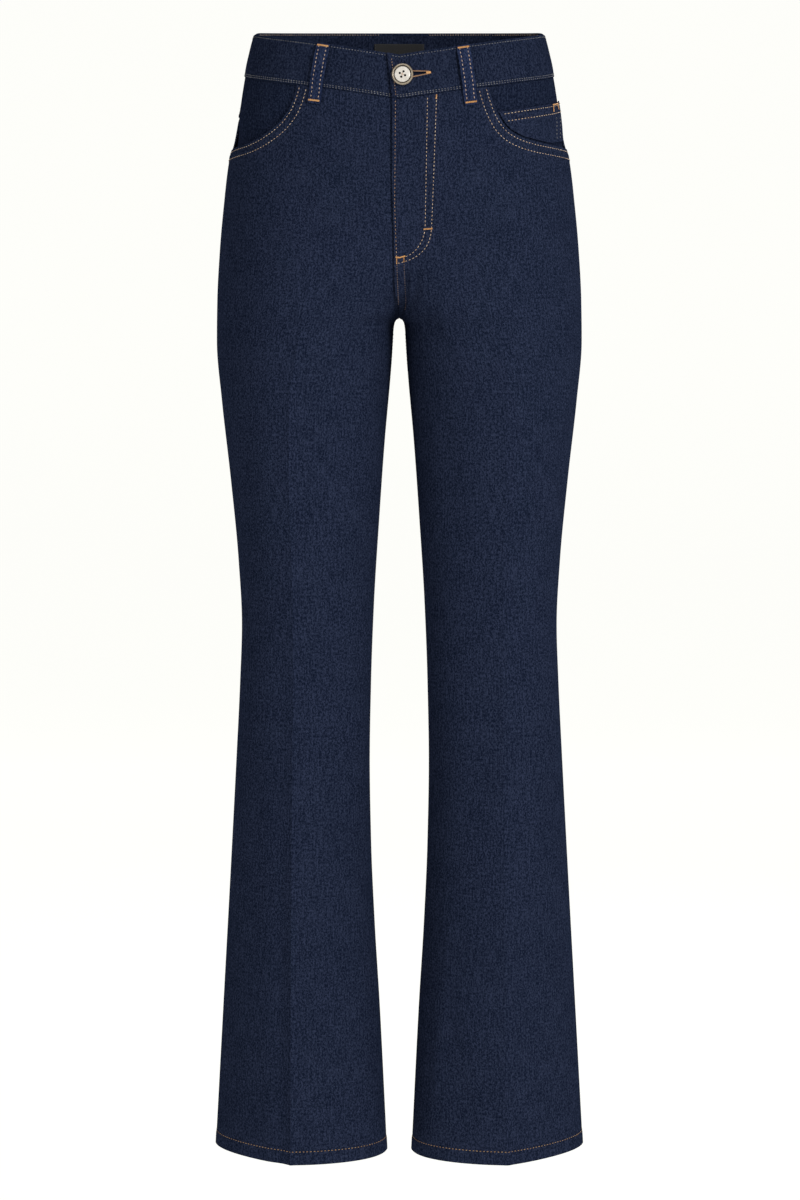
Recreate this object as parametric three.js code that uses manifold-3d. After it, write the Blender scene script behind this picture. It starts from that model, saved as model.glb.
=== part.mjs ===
// Flared five-pocket jeans in dark denim, filled out as worn, with nothing inside.
// Millimetres, +Z up, the front faces -Y. The origin is the centre of the waist
// opening, level with the top of the waistband at the sides.
import * as THREE from "three";
import { mergeVertices } from "three/addons/utils/BufferGeometryUtils.js";
import Module from "manifold-3d";

const wasm = await Module();
wasm.setup();

// Driving sizes
const cloth = 1.4; // one layer of denim
const seamGap = 0.3; // between pieces that are sewn together
const bandDepth = 41; // waistband, measured down the side
const bandIn = 1.8; // the doubled waistband stands this far in
const bandOut = 1.0; // and this far out
const outseam = 1109; // side of the waist to the hem
const crotchAt = 285; // level of the side that lies beside the crotch
const hemSag = 2; // the hem hangs this much lower at the creases
const sideRise = 2.8; // the waist's top edge rises this much towards the sides
const sideDrop = 4; // and falls by this right at the side seams
const bandSlant = 5; // the waistband's top end leans out by this at its top edge
const hemTurn = 14; // turned-up hem
const hemExtra = 1.5; // the turned-up layer adds this inside
const flyOverlap = 7; // the top layer passes the centre by this
const flyEnd = 240; // level where the fly's top layer starts to end
const flyLift = 1.3; // how far the top layer of the fly rises
const flyDip = 0.7; // how far the layer under it sinks
const bandLift = 1.6; // the same two at the waistband
const bandDip = 1.5;
const underEnd = 24; // the waistband's under end passes the centre by this
const loopWidth = 13;
const loopThick = 2.0;
const loopBow = 1.8; // room for a belt at the middle of a loop
const buttonRadius = 10.8;
const buttonSpot = { x: 3.1, d: 19.4 };
const slot = { long: 25, half: 0.7, fall: 0.06 }; // the buttonhole falls a little to its end
const backPocket = { top: 103, sideHeight: 118, tip: 142, topWidth: 146, footWidth: 124, middle: 0.5 };
const label = { width: 51, top: 10, bottom: 22, thick: 0.6 };
const flyShield = { from: -26, to: 34, top: 46, bottom: 210, low: -4.3, high: -2.9 };
const zip = { from: 3, to: 30, top: 47, bottom: 205, low: -2.5, high: -1.9 };
const legFrom = 105; // the rounded hip turns into the creased leg between these levels
const legTo = 215;
const hipRoundness = 2 / 2.25; // 1 is a quarter of an ellipse, less is fuller
const stations = { lead: 3, inner: 3, outer: 6 }; // columns of facets across a panel
const mergeWithin = 1e-4;

// The side seam, a row for each level. d is the depth below the waist's top edge at the
// side, half is the distance from the middle to the side seam, y is the seam's place.
const sideRows = [
  { d: 0, half: 143, y: 2 },
  { d: 41, half: 152, y: 2 },
  { d: 104, half: 163.2, y: 3 },
  { d: 121, half: 168, y: 3 },
  { d: 165, half: 173.6, y: 4 },
  { d: 210, half: 177.8, y: 4 },
  { d: 260, half: 180.6, y: 4 },
  { d: 300, half: 181.2, y: 4 },
  { d: 358, half: 176.5, y: 4 },
  { d: 437, half: 167.8, y: 2 },
  { d: 517, half: 160.4, y: 0 },
  { d: 580, half: 157.4, y: 0 },
  { d: 638, half: 159.4, y: 0 },
  { d: 719, half: 163.7, y: 2 },
  { d: 841, half: 170.6, y: 3 },
  { d: 964, half: 177.8, y: 3 },
  { d: 1109, half: 186.1, y: 1 },
];

// The centre front and centre back lines, from the waist to the crotch.
const centreRows = [
  { d: 0, frontY: -88, frontZ: -25.5, backY: 96, backZ: 11 },
  { d: 41, frontY: -93, frontZ: -67.7, backY: 104, backZ: -31 },
  { d: 100, frontY: -100, frontZ: -124, backY: 118, backZ: -88 },
  { d: 160, frontY: -102, frontZ: -180, backY: 130, backZ: -150 },
  { d: 205, frontY: -96, frontZ: -221, backY: 131, backZ: -198 },
  { d: 235, frontY: -83, frontZ: -247, backY: 119, backZ: -235 },
  { d: 258, frontY: -60, frontZ: -265, backY: 88, backZ: -261 },
  { d: 275, frontY: -29, frontZ: -274.5, backY: 45, backZ: -275 },
  { d: 285, frontY: 4, frontZ: -277, backY: 4, backZ: -277 },
];

// The inseam, from the crotch to the hem.
const inseamRows = [
  { d: 285, x: 0, y: 4, z: -277 },
  { d: 287, x: 2.6, y: 4, z: -278 },
  { d: 290, x: 4.6, y: 3.5, z: -281.5 },
  { d: 295, x: 5.7, y: 3, z: -288.5 },
  { d: 305, x: 6.6, y: 1, z: -301 },
  { d: 340, x: 9.6, y: -6, z: -339 },
  { d: 398, x: 14.9, y: -12, z: -398 },
  { d: 477, x: 20.5, y: -14, z: -477 },
  { d: 557, x: 25.5, y: -14, z: -557 },
  { d: 638, x: 28.6, y: -13, z: -638 },
  { d: 719, x: 30, y: -11, z: -719 },
  { d: 800, x: 28.7, y: -9, z: -800 },
  { d: 882, x: 25.2, y: -8, z: -882 },
  { d: 964, x: 20.2, y: -10, z: -965 },
  { d: 1109, x: 12.9, y: -15, z: -1112 },
];

// The pressed creases. x and front, back are their places, and turnIn and turnOut are
// the degrees by which the cloth falls away on the inner and the outer side of them.
const creaseRows = [
  { d: 105, x: 76, front: -99, back: 115, turnIn: 0, turnOut: 0 },
  { d: 160, x: 79, front: -103, back: 127, turnIn: 0, turnOut: 1 },
  { d: 215, x: 84, front: -104, back: 132.5, turnIn: 0, turnOut: 3 },
  { d: 260, x: 90, front: -102, back: 127.5, turnIn: 1, turnOut: 6 },
  { d: 300, x: 97, front: -98.5, back: 117.5, turnIn: 2, turnOut: 8 },
  { d: 358, x: 106, front: -94, back: 106, turnIn: 4, turnOut: 11 },
  { d: 437, x: 107, front: -87, back: 95, turnIn: 5, turnOut: 13 },
  { d: 517, x: 105, front: -79, back: 80, turnIn: 5, turnOut: 14 },
  { d: 580, x: 104, front: -73, back: 69, turnIn: 5, turnOut: 15 },
  { d: 638, x: 104, front: -71, back: 66, turnIn: 6, turnOut: 16 },
  { d: 719, x: 105, front: -73, back: 69, turnIn: 6, turnOut: 19 },
  { d: 841, x: 106, front: -77, back: 74, turnIn: 7, turnOut: 24 },
  { d: 964, x: 107, front: -80, back: 76, turnIn: 8, turnOut: 28 },
  { d: 1109, x: 108, front: -85, back: 80, turnIn: 8, turnOut: 32 },
];

// The handles of a section's inner curve: x and front or back are the one that leaves the
// centre line or the inseam, and arriveX is the one that comes into the crease.
const innerRows = [
  { d: 105, x: 45, front: -100, back: 118, arriveX: 31 },
  { d: 160, x: 40, front: -102.5, back: 129, arriveX: 28 },
  { d: 205, x: 36, front: -100, back: 131.5, arriveX: 26 },
  { d: 225, x: 31, front: -97.5, back: 130, arriveX: 25 },
  { d: 245, x: 25, front: -93, back: 125, arriveX: 24 },
  { d: 262, x: 18, front: -86, back: 115, arriveX: 23 },
  { d: 275, x: 12.5, front: -77, back: 102, arriveX: 22.5 },
  { d: 285, x: 9.5, front: -69, back: 90, arriveX: 22.5 },
  { d: 300, x: 7.5, front: -59, back: 73, arriveX: 23 },
  { d: 320, x: 8, front: -54, back: 57, arriveX: 26 },
  { d: 340, x: 9.6, front: -52, back: 46, arriveX: 31 },
  { d: 398, x: 14.9, front: -57, back: 34, arriveX: 46 },
  { d: 477, x: 20.5, front: -56, back: 27, arriveX: 55 },
  { d: 557, x: 25.5, front: -49, back: 20, arriveX: 59 },
  { d: 638, x: 28.6, front: -46, back: 21, arriveX: 61 },
  { d: 719, x: 30, front: -46, back: 24, arriveX: 61.5 },
  { d: 800, x: 28.7, front: -46, back: 27, arriveX: 60.5 },
  { d: 882, x: 25.2, front: -46.5, back: 28.5, arriveX: 59 },
  { d: 964, x: 20.2, front: -49, back: 28, arriveX: 57 },
  { d: 1109, x: 12.9, front: -55, back: 25, arriveX: 53 },
];

// The edges of the front pockets' openings, from the side seam to the waistband. The front
// is worn a little turned, so the left opening reaches further in.
const pocketRows = {
  left: [
    { z: -112, x: 172 },
    { z: -111, x: 162 },
    { z: -109.4, x: 149 },
    { z: -107, x: 133 },
    { z: -103, x: 118 },
    { z: -96, x: 105.5 },
    { z: -86, x: 97.2 },
    { z: -71.5, x: 90.7 },
    { z: -55, x: 85.8 },
    { z: -40, x: 83 },
  ],
  right: [
    { z: -114, x: 172 },
    { z: -111, x: 162 },
    { z: -107, x: 146 },
    { z: -97, x: 126.5 },
    { z: -86, x: 113.5 },
    { z: -71.5, x: 104 },
    { z: -55, x: 98.6 },
    { z: -40, x: 95.5 },
  ],
};

const { sin, cos, abs, max, min, PI } = Math;
const clamp = (v) => min(1, max(0, v));
const mix = (a, b, t) => a + (b - a) * t;
const ease = (from, to, v) => {
  const t = clamp((v - from) / (to - from));
  return t * t * (3 - 2 * t);
};

// A smooth curve through one column of a table, which keeps to the rows' range.
function column(rows, name, key = "d") {
  const at = rows.map((r) => r[key]);
  const value = rows.map((r) => r[name]);
  const rise = at.slice(1).map((a, i) => (value[i + 1] - value[i]) / (a - at[i]));
  const slope = at.map((_, i) => {
    if (i === 0 || i === at.length - 1) return rise[i === 0 ? 0 : i - 1];
    const before = rise[i - 1];
    const after = rise[i];
    return before * after <= 0 ? 0 : (2 * before * after) / (before + after);
  });
  return (v) => {
    let i = 0;
    while (i < at.length - 2 && v > at[i + 1]) i += 1;
    const step = at[i + 1] - at[i];
    const t = (v - at[i]) / step;
    if (t < 0) return value[0] + slope[0] * (v - at[0]);
    if (t > 1) return value[i + 1] + slope[i + 1] * (v - at[i + 1]);
    const s = t * t * (3 - 2 * t);
    const bend = t * (1 - t);
    return mix(value[i], value[i + 1], s) + step * bend * ((1 - t) * slope[i] - t * slope[i + 1]);
  };
}

const half = column(sideRows, "half");
const sideY = column(sideRows, "y");
const centreY = { front: column(centreRows, "frontY"), back: column(centreRows, "backY") };
const centreZ = { front: column(centreRows, "frontZ"), back: column(centreRows, "backZ") };
const inseam = { x: column(inseamRows, "x"), y: column(inseamRows, "y"), z: column(inseamRows, "z") };
const creaseX = column(creaseRows, "x");
const creaseY = { front: column(creaseRows, "front"), back: column(creaseRows, "back") };
const turnIn = column(creaseRows, "turnIn");
const turnOut = column(creaseRows, "turnOut");
const handleX = column(innerRows, "x");
const handleY = { front: column(innerRows, "front"), back: column(innerRows, "back") };
const arriveX = column(innerRows, "arriveX");
const pocketX = { 1: column(pocketRows.left, "x", "z"), [-1]: column(pocketRows.right, "x", "z") };

const bezier = (p, t) => {
  const s = 1 - t;
  const weights = [s * s * s, 3 * s * s * t, 3 * s * t * t, t * t * t];
  return [0, 1].map((k) => weights.reduce((sum, w, i) => sum + w * p[i][k], 0));
};

// The inner end of a section: the centre line above the crotch, the inseam below it.
function innerEnd(face, d) {
  if (d < crotchAt) return [0, centreY[face](d), centreZ[face](d)];
  return [inseam.x(d), inseam.y(d), inseam.z(d)];
}

// Hips and waist: a rounded quarter from the centre to the side.
function hipPlan(face, d, t) {
  const end = innerEnd(face, d);
  const turn = (t * PI) / 2;
  const x = mix(end[0], half(d), sin(turn) ** hipRoundness);
  const y = sideY(d) + (end[1] - sideY(d)) * cos(turn) ** hipRoundness;
  return [x, y];
}

// Legs: two curves that meet in the crease.
function legPlan(face, d, t) {
  const inward = face === "front" ? 1 : -1;
  const end = innerEnd(face, d);
  const crease = [creaseX(d), creaseY[face](d)];
  const side = [half(d), sideY(d)];
  const fall = face === "front" ? 1 : 0.75;
  if (t < 0.5) {
    const angle = (turnIn(d) * fall * PI) / 180;
    const reach = crease[0] - arriveX(d);
    const leave = [handleX(d), handleY[face](d)];
    const arrive = [arriveX(d), crease[1] + inward * reach * sin(angle)];
    return bezier([[end[0], end[1]], leave, arrive, crease], 2 * t);
  }
  const angle = (turnOut(d) * fall * PI) / 180;
  const reach = 0.55 * (side[0] - crease[0]);
  const leave = [crease[0] + reach * cos(angle), crease[1] + inward * reach * sin(angle)];
  const arrive = [side[0], mix(side[1], crease[1], mix(0.55, 0.38, ease(600, outseam, d)))];
  return bezier([crease, leave, arrive, side], 2 * t - 1);
}

// A plan curve with its points spread evenly along it.
function spread(curve, count) {
  const fine = Array.from({ length: 241 }, (_, i) => curve(i / 240));
  const along = [0];
  for (let i = 1; i < fine.length; i += 1) {
    along.push(along[i - 1] + Math.hypot(fine[i][0] - fine[i - 1][0], fine[i][1] - fine[i - 1][1]));
  }
  const total = along[along.length - 1];
  let k = 1;
  const points = Array.from({ length: count + 1 }, (_, i) => {
    const goal = (total * i) / count;
    while (k < along.length - 1 && along[k] < goal) k += 1;
    const t = (goal - along[k - 1]) / (along[k] - along[k - 1] || 1);
    return [mix(fine[k - 1][0], fine[k][0], t), mix(fine[k - 1][1], fine[k][1], t)];
  });
  return { points, total };
}

const sectionSteps = 96;
const sections = new Map();

// The section of one panel at a level, from its inner end to the side seam. The crease
// is always at its middle.
function section(face, d) {
  const key = face + d.toFixed(4);
  if (!sections.has(key)) {
    const hip = spread((t) => hipPlan(face, d, t), sectionSteps);
    const inner = spread((t) => legPlan(face, d, t / 2), sectionSteps / 2);
    const outer = spread((t) => legPlan(face, d, 0.5 + t / 2), sectionSteps / 2);
    const leg = [...inner.points, ...outer.points.slice(1)];
    const share = ease(legFrom, legTo, d);
    const points = hip.points.map((p, i) => [0, 1].map((k) => mix(p[k], leg[i][k], share)));
    sections.set(key, { points, total: mix(hip.total, inner.total + outer.total, share) });
  }
  return sections.get(key);
}

// A point of the outside of the cloth. u runs from the centre or inseam, 0, to the side
// seam, 1, and below 0 it goes on past the centre line.
function surface(face, u, d) {
  const { points } = section(face, d);
  const a = min(abs(u), 1) * sectionSteps;
  const i = min(Math.floor(a), sectionSteps - 1);
  const past = max(abs(u) - 1, 0) * sectionSteps;
  const x = mix(points[i][0], points[i + 1][0], a - i + past);
  const y = mix(points[i][1], points[i + 1][1], a - i + past);
  const end = innerEnd(face, d)[2];
  const v = abs(u);
  const sag = hemSag * ease(900, outseam, d) * 4 * v * (1 - v);
  const straight = 1 - v * (1.1 - 0.1 * v);
  const level = face === "front" ? straight : mix(1 - min(v, 1) ** 2.4, straight, ease(bandDepth, 100, d));
  const pull = mix(level, max(0, 1 - v) ** 2.2, ease(150, 260, d));
  const drop = sideDrop * ease(0.82, 1, v) ** 2 * (1 - ease(0, bandDepth, d));
  const z = mix(sideRise * (1 - ease(0, 2 * bandDepth, d)) - d, end, pull) - sag - drop;
  return new THREE.Vector3(u < 0 ? -x : x, y, z);
}

const sectionLength = (face, d) => section(face, d).total;

// The direction out of the cloth, by differences along and across it.
function outward(face, u, d) {
  const du = 1 / sectionLength(face, d);
  const lowest = d < crotchAt - 1 ? -1 : 0;
  const across = surface(face, min(u + du, 1), d).sub(surface(face, max(u - du, lowest), d));
  const down = surface(face, u, min(d + 1, outseam)).sub(surface(face, u, max(d - 1, 0)));
  const normal = face === "front" ? down.cross(across) : across.cross(down);
  return normal.normalize();
}

// The same point moved out by off, on the +X side or the -X side.
function place(side, face, u, d, off) {
  const p = surface(face, u, d).addScaledVector(outward(face, u, d), off);
  p.x *= side;
  return p;
}

// Where a section meets the edge of the front pocket's opening.
function uAtPocket(side, d) {
  const past = (u) => {
    const p = surface("front", u, d);
    return p.x - pocketX[side](p.z);
  };
  if (past(1) < 0) return 1;
  let low = 0;
  let high = 1;
  for (let i = 0; i < 30; i += 1) {
    const u = (low + high) / 2;
    if (past(u) < 0) low = u;
    else high = u;
  }
  return low;
}

// A closed wall from a grid of outer points and a grid of inner points. Both are arrays
// of rows, and the wall gets a rim all round.
function wall(outer, inner) {
  const rows = outer.length;
  const cols = outer[0].length;
  const triangles = [];
  const quad = (a, b, c, e) => triangles.push(a, b, c, a, c, e);
  for (let i = 0; i < rows - 1; i += 1) {
    for (let j = 0; j < cols - 1; j += 1) {
      quad(outer[i][j], outer[i + 1][j], outer[i + 1][j + 1], outer[i][j + 1]);
      quad(inner[i][j], inner[i][j + 1], inner[i + 1][j + 1], inner[i + 1][j]);
    }
  }
  for (let j = 0; j < cols - 1; j += 1) {
    quad(outer[0][j], outer[0][j + 1], inner[0][j + 1], inner[0][j]);
    quad(outer[rows - 1][j], inner[rows - 1][j], inner[rows - 1][j + 1], outer[rows - 1][j + 1]);
  }
  for (let i = 0; i < rows - 1; i += 1) {
    quad(outer[i][0], inner[i][0], inner[i + 1][0], outer[i + 1][0]);
    quad(outer[i][cols - 1], outer[i + 1][cols - 1], inner[i + 1][cols - 1], inner[i][cols - 1]);
  }
  const geometry = new THREE.BufferGeometry().setFromPoints(triangles);
  return mergeVertices(geometry, mergeWithin);
}

// Turns a mesh whose faces point inwards the right way round.
function facingOut(geometry) {
  const p = geometry.getAttribute("position");
  const index = geometry.index.array;
  const corner = [0, 1, 2].map(() => new THREE.Vector3());
  let volume = 0;
  for (let i = 0; i < index.length; i += 3) {
    corner.forEach((c, k) => c.fromBufferAttribute(p, index[i + k]));
    volume += corner[0].dot(corner[1].clone().cross(corner[2]));
  }
  if (volume < 0) {
    for (let i = 0; i < index.length; i += 3) {
      [index[i + 1], index[i + 2]] = [index[i + 2], index[i + 1]];
    }
  }
  geometry.computeVertexNormals();
  return geometry;
}

// A piece of cloth on the body. spots is a grid of { side, face, u, d }, and low and
// high give how far its two faces stand off the outside of the main cloth.
function clothPiece(spots, low, high, put = place) {
  const layer = (off) => spots.map((row) => row.map((s) => put(s.side, s.face, s.u, s.d, off(s))));
  return facingOut(wall(layer(high), layer(low)));
}

// Like place, for a piece that lies on a panel: it keeps to the flat facets between the
// columns of points of that panel.
function seat(side, face, u, d, off) {
  const columns = face === "front" ? frontColumns(side, d) : backColumns(d);
  let i = 0;
  while (i < columns.length - 2 && u > columns[i + 1]) i += 1;
  if (u > columns[columns.length - 1]) return place(side, face, u, d, off);
  const a = place(side, face, columns[i], d, off);
  const b = place(side, face, columns[i + 1], d, off);
  return a.lerp(b, (u - columns[i]) / (columns[i + 1] - columns[i]));
}

const steps = (from, to, count) => Array.from({ length: count + 1 }, (_, i) => mix(from, to, i / count));

// A patch between the first and the last level and two lines along the leg.
function patch({ side, face, levels, from, to, columns }) {
  return levels.map((d) => steps(from(d), to(d), columns).map((u) => ({ side, face, u, d })));
}

// Levels of the rows of facets
const bandEdge = bandDepth + seamGap / 2;
const pocketLevels = [99.5, 102, 104, 106, 108, 110, 111.5, 113, 115, 119];
const hipLevels = [...steps(bandEdge, 96.5, 6), ...pocketLevels, ...steps(126, 244, 9)];
const crotchLevels = [256, 266, 276, crotchAt, 288, 292, 299, 314];
const legLevels = [...steps(340, 1060, 21), 1084, outseam - hemTurn - 1, outseam - hemTurn + 1, outseam];
const sideGap = (face, d) => seamGap / 2 / sectionLength(face, d);

// The hem is turned up inside, so the wall is thicker there.
const panelLow = (s) => -cloth - (s.d > outseam - hemTurn ? hemExtra : 0);

// The top layer of the fly is on the +X side, and it fades out towards the crotch.
const flyShare = (d) => 1 - ease(flyEnd + 25, flyEnd + 50, d);
const overlapAt = (d) => mix(flyOverlap, -seamGap / 2, ease(flyEnd, flyEnd + 25, d));

// The columns of a front panel at a level. Those at the fly are close together, so that
// the step from one layer to the other stays narrow.
function frontColumns(side, d) {
  const topLayer = side > 0;
  const length = sectionLength("front", d);
  const aboveCrotch = topLayer ? -overlapAt(d) : seamGap / 2;
  const start = (d < crotchAt ? aboveCrotch : seamGap / 2) / length;
  const end = min(uAtPocket(side, d), 1 - sideGap("front", d));
  const share = 1 - ease(flyEnd + 20, crotchAt, d);
  const atFly = topLayer ? [-0.1, 0.55, 1.2] : [0.6, 1.05, 1.9];
  const first = [0, ...atFly].map((k, i) => {
    const even = mix(start, 0.2, i / stations.lead);
    return i === 0 ? start : mix(even, (k * flyOverlap) / length, share);
  });
  const middle = mix(0.5, first[3] + (end - first[3]) * 0.4, 1 - ease(100, 180, d));
  const inner = steps(first[3], middle, stations.inner);
  const outer = steps(0, 1, stations.outer).map((a) => mix(middle, end, mix(a, a * (2 - a), 0.3)));
  return [...first.slice(0, 3), ...inner, ...outer.slice(1)];
}

function backColumns(d) {
  const gap = sideGap("back", d);
  const inner = steps(gap, 0.5, stations.lead + stations.inner - 1);
  return [...inner, ...steps(0.5, 1 - gap, stations.outer).slice(1)];
}

function frontPanel(side) {
  const topLayer = side > 0;
  const levels = [...hipLevels, ...crotchLevels, ...legLevels];
  const spots = levels.map((d) => frontColumns(side, d).map((u) => ({ side, face: "front", u, d })));
  const shift = (s) => {
    const x = s.u * sectionLength("front", s.d);
    if (topLayer) return flyLift * flyShare(s.d) * (1 - ease(0, flyOverlap * 1.2, x));
    return -flyDip * flyShare(s.d) * (1 - ease(flyOverlap * 1.05, flyOverlap * 1.9, x));
  };
  return clothPiece(spots, (s) => panelLow(s) + shift(s), shift);
}

// The yoke's seam is low at the centre back and high at the side.
const yokeSeam = (u) => mix(103, 79, u);

function yoke(side) {
  const spots = [0, 0.5, 1].map((b) =>
    backColumns(80).map((u) => ({ side, face: "back", u, d: mix(bandEdge, yokeSeam(u) - seamGap / 2, b) })),
  );
  return clothPiece(spots, () => -cloth, () => 0);
}

function backPanel(side) {
  const slanted = steps(0, 1, 6).slice(0, 6).map((r) =>
    backColumns(100).map((u) => ({ side, face: "back", u, d: mix(yokeSeam(u) + seamGap / 2, 170, r) })),
  );
  const even = [...steps(170, 244, 5), ...crotchLevels, ...legLevels].map((d) =>
    backColumns(d).map((u) => ({ side, face: "back", u, d })),
  );
  const spots = [...slanted, ...even];
  return clothPiece(spots, panelLow, () => 0);
}

// The denim that shows in the pocket's opening. It lies under the front panel's edge and
// comes up level with the rest towards the side seam.
const facingBottom = 140;
const facingUnder = 24;
const facingStep = cloth + seamGap + 0.1;
const edgeLevels = steps(bandEdge - 12, 116, 60);
const edgeOn = (side) => edgeLevels.map((d) => surface("front", uAtPocket(side, d), d));
const pocketEdge = { 1: edgeOn(1), [-1]: edgeOn(-1) };

// How far a spot lies inside the opening, or 0 where the front panel covers it.
function inOpening(s) {
  if (s.u <= uAtPocket(s.side, s.d)) return 0;
  const p = surface("front", s.u, s.d);
  return min(...pocketEdge[s.side].map((e) => e.distanceTo(p)));
}

// The facing comes up level with the panels inside the opening, and lies a little deeper
// at its narrow lower end, where the opening's edge runs almost level.
function facingRise(s) {
  const deeper = 0.95 * ease(84, 98, s.d) * (1 - ease(119, 130, s.d));
  return -facingStep - deeper + (facingStep - 0.2) * ease(4, 26, inOpening(s));
}

function facing(side) {
  const levels = hipLevels.filter((d) => d < facingBottom);
  const from = (d) => uAtPocket(side, min(d, 108)) - facingUnder / sectionLength("front", d);
  const to = (d) => 1 - sideGap("front", d);
  const spots = patch({ side, face: "front", levels, from, to, columns: 12 });
  return clothPiece(spots, (s) => facingRise(s) - cloth, facingRise, seat);
}

// The coin pocket shows on the facing of the +X side. Its top edge rises to the side.
function coinPocket() {
  const top = (a) => mix(66.4, 63.4, a);
  const thick = 1.1;
  const lift = 0.75;
  const fromEdge = 2.6;
  const spots = steps(0, 1, 9).map((b) =>
    steps(0, 1, 9).map((a) => {
      const d = mix(top(a), 101.5, b);
      const outer = 1 - 3.5 / sectionLength("front", d);
      let inner = uAtPocket(1, d);
      while (inOpening({ side: 1, u: inner, d }) < fromEdge && inner < outer - 0.02) inner += 0.001;
      return { side: 1, face: "front", u: mix(inner, outer, a), d };
    }),
  );
  return clothPiece(spots, (s) => facingRise(s) + lift, (s) => facingRise(s) + lift + thick);
}

// The waistband goes once round, with its top end on the +X side and its under end
// behind it. A buttonhole with an eyelet is cut through the top end.
function waistband() {
  const quarter = 16;
  const ring = [
    { side: 1, face: "front", x: -flyOverlap, slant: bandSlant },
    { side: 1, face: "front", x: -flyOverlap / 2, slant: bandSlant / 2 },
    ...[0, 5, 10, 20].map((x) => ({ side: 1, face: "front", x })),
    ...steps(0.19, 1, quarter).map((u) => ({ side: 1, face: "front", u })),
    ...steps(1, 0, quarter).slice(1).map((u) => ({ side: 1, face: "back", u })),
    ...steps(0, 1, quarter).slice(1).map((u) => ({ side: -1, face: "back", u })),
    ...steps(1, 0.19, quarter).slice(1).map((u) => ({ side: -1, face: "front", u })),
    ...[22, 15, 10, 5, 0, -underEnd / 2, -underEnd].map((x) => ({ side: -1, face: "front", x })),
  ];
  const spots = [0, 0.5, 1].map((b) =>
    ring.map((r) => {
      const d = b * (bandDepth - seamGap / 2);
      const u = r.u ?? (r.x - (r.slant ?? 0) * (1 - b)) / sectionLength("front", d);
      return { side: r.side, face: r.face, u, d };
    }),
  );
  const shift = (s) => {
    if (s.face === "back") return 0;
    const x = s.u * sectionLength("front", s.d);
    if (s.side > 0) return bandLift * (1 - ease(underEnd, underEnd + 8, x));
    return -bandDip * (1 - ease(flyOverlap * 1.2, flyOverlap * 2.8, x));
  };
  return clothPiece(spots, (s) => shift(s) - bandIn, (s) => shift(s) + bandOut);
}

// A copy that holds positions alone, with shared corners merged.
function merged(geometry) {
  const bare = geometry.clone();
  for (const name of ["normal", "uv"]) bare.deleteAttribute(name);
  return mergeVertices(bare, mergeWithin);
}

function solidOf(geometry) {
  const closed = merged(geometry);
  return new wasm.Manifold(
    new wasm.Mesh({
      numProp: 3,
      vertProperties: new Float32Array(closed.getAttribute("position").array),
      triVerts: new Uint32Array(closed.index.array),
    }),
  );
}

function geometryOf(solid) {
  const mesh = solid.getMesh();
  const geometry = new THREE.BufferGeometry();
  const points = new Float32Array(mesh.numVert * 3);
  for (let i = 0; i < mesh.numVert; i += 1) {
    for (let k = 0; k < 3; k += 1) points[3 * i + k] = mesh.vertProperties[mesh.numProp * i + k];
  }
  geometry.setAttribute("position", new THREE.BufferAttribute(points, 3));
  geometry.setIndex([...mesh.triVerts]);
  geometry.computeVertexNormals();
  return geometry;
}

// The slot ends in the gap between the two layers of the waistband.
function buttonholeCutter() {
  const length = sectionLength("front", buttonSpot.d);
  const spots = [-slot.half, slot.half].map((off) =>
    steps(0, slot.long, 10).map((x) => {
      const d = buttonSpot.d + slot.fall * x + off;
      return { side: 1, face: "front", u: (buttonSpot.x + x) / length, d };
    }),
  );
  const lift = (s) => bandLift * (1 - ease(underEnd, underEnd + 8, s.u * length));
  const cut = clothPiece(spots, (s) => lift(s) - bandIn - seamGap / 2, (s) => lift(s) + bandOut + 4);
  const eyelet = new THREE.CylinderGeometry(2.3, 2.3, 8, 16);
  const middle = buttonPoint(bandLift - bandIn - seamGap / 2 + 4);
  eyelet.applyQuaternion(alongNormal());
  eyelet.translate(middle.x, middle.y, middle.z);
  return solidOf(cut).add(solidOf(eyelet));
}

const buttonU = () => buttonSpot.x / sectionLength("front", buttonSpot.d);
const buttonPoint = (off) => place(1, "front", buttonU(), buttonSpot.d, off);
const alongNormal = () =>
  new THREE.Quaternion().setFromUnitVectors(
    new THREE.Vector3(0, 1, 0),
    outward("front", buttonU(), buttonSpot.d),
  );

// A turned button with a raised rim, on a thread shank that passes the eyelet.
function button() {
  const face = 3.4;
  const back = bandLift + bandOut + 0.8;
  const shankEnd = -bandDip + bandOut + seamGap;
  const profile = [
    [0, shankEnd],
    [1.5, shankEnd],
    [1.5, back],
    [buttonRadius - 1.8, back],
    [buttonRadius, back + 1.3],
    [buttonRadius, back + 2.4],
    [buttonRadius - 0.9, back + face],
    [buttonRadius - 1.9, back + face],
    [buttonRadius - 2.7, back + face - 0.9],
    [0, back + face - 1.1],
  ];
  const shape = new THREE.LatheGeometry(profile.map(([r, h]) => new THREE.Vector2(r, h)), 32);
  shape.applyQuaternion(alongNormal());
  const foot = buttonPoint(0);
  shape.translate(foot.x, foot.y, foot.z);
  return facingOut(merged(shape));
}

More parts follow.
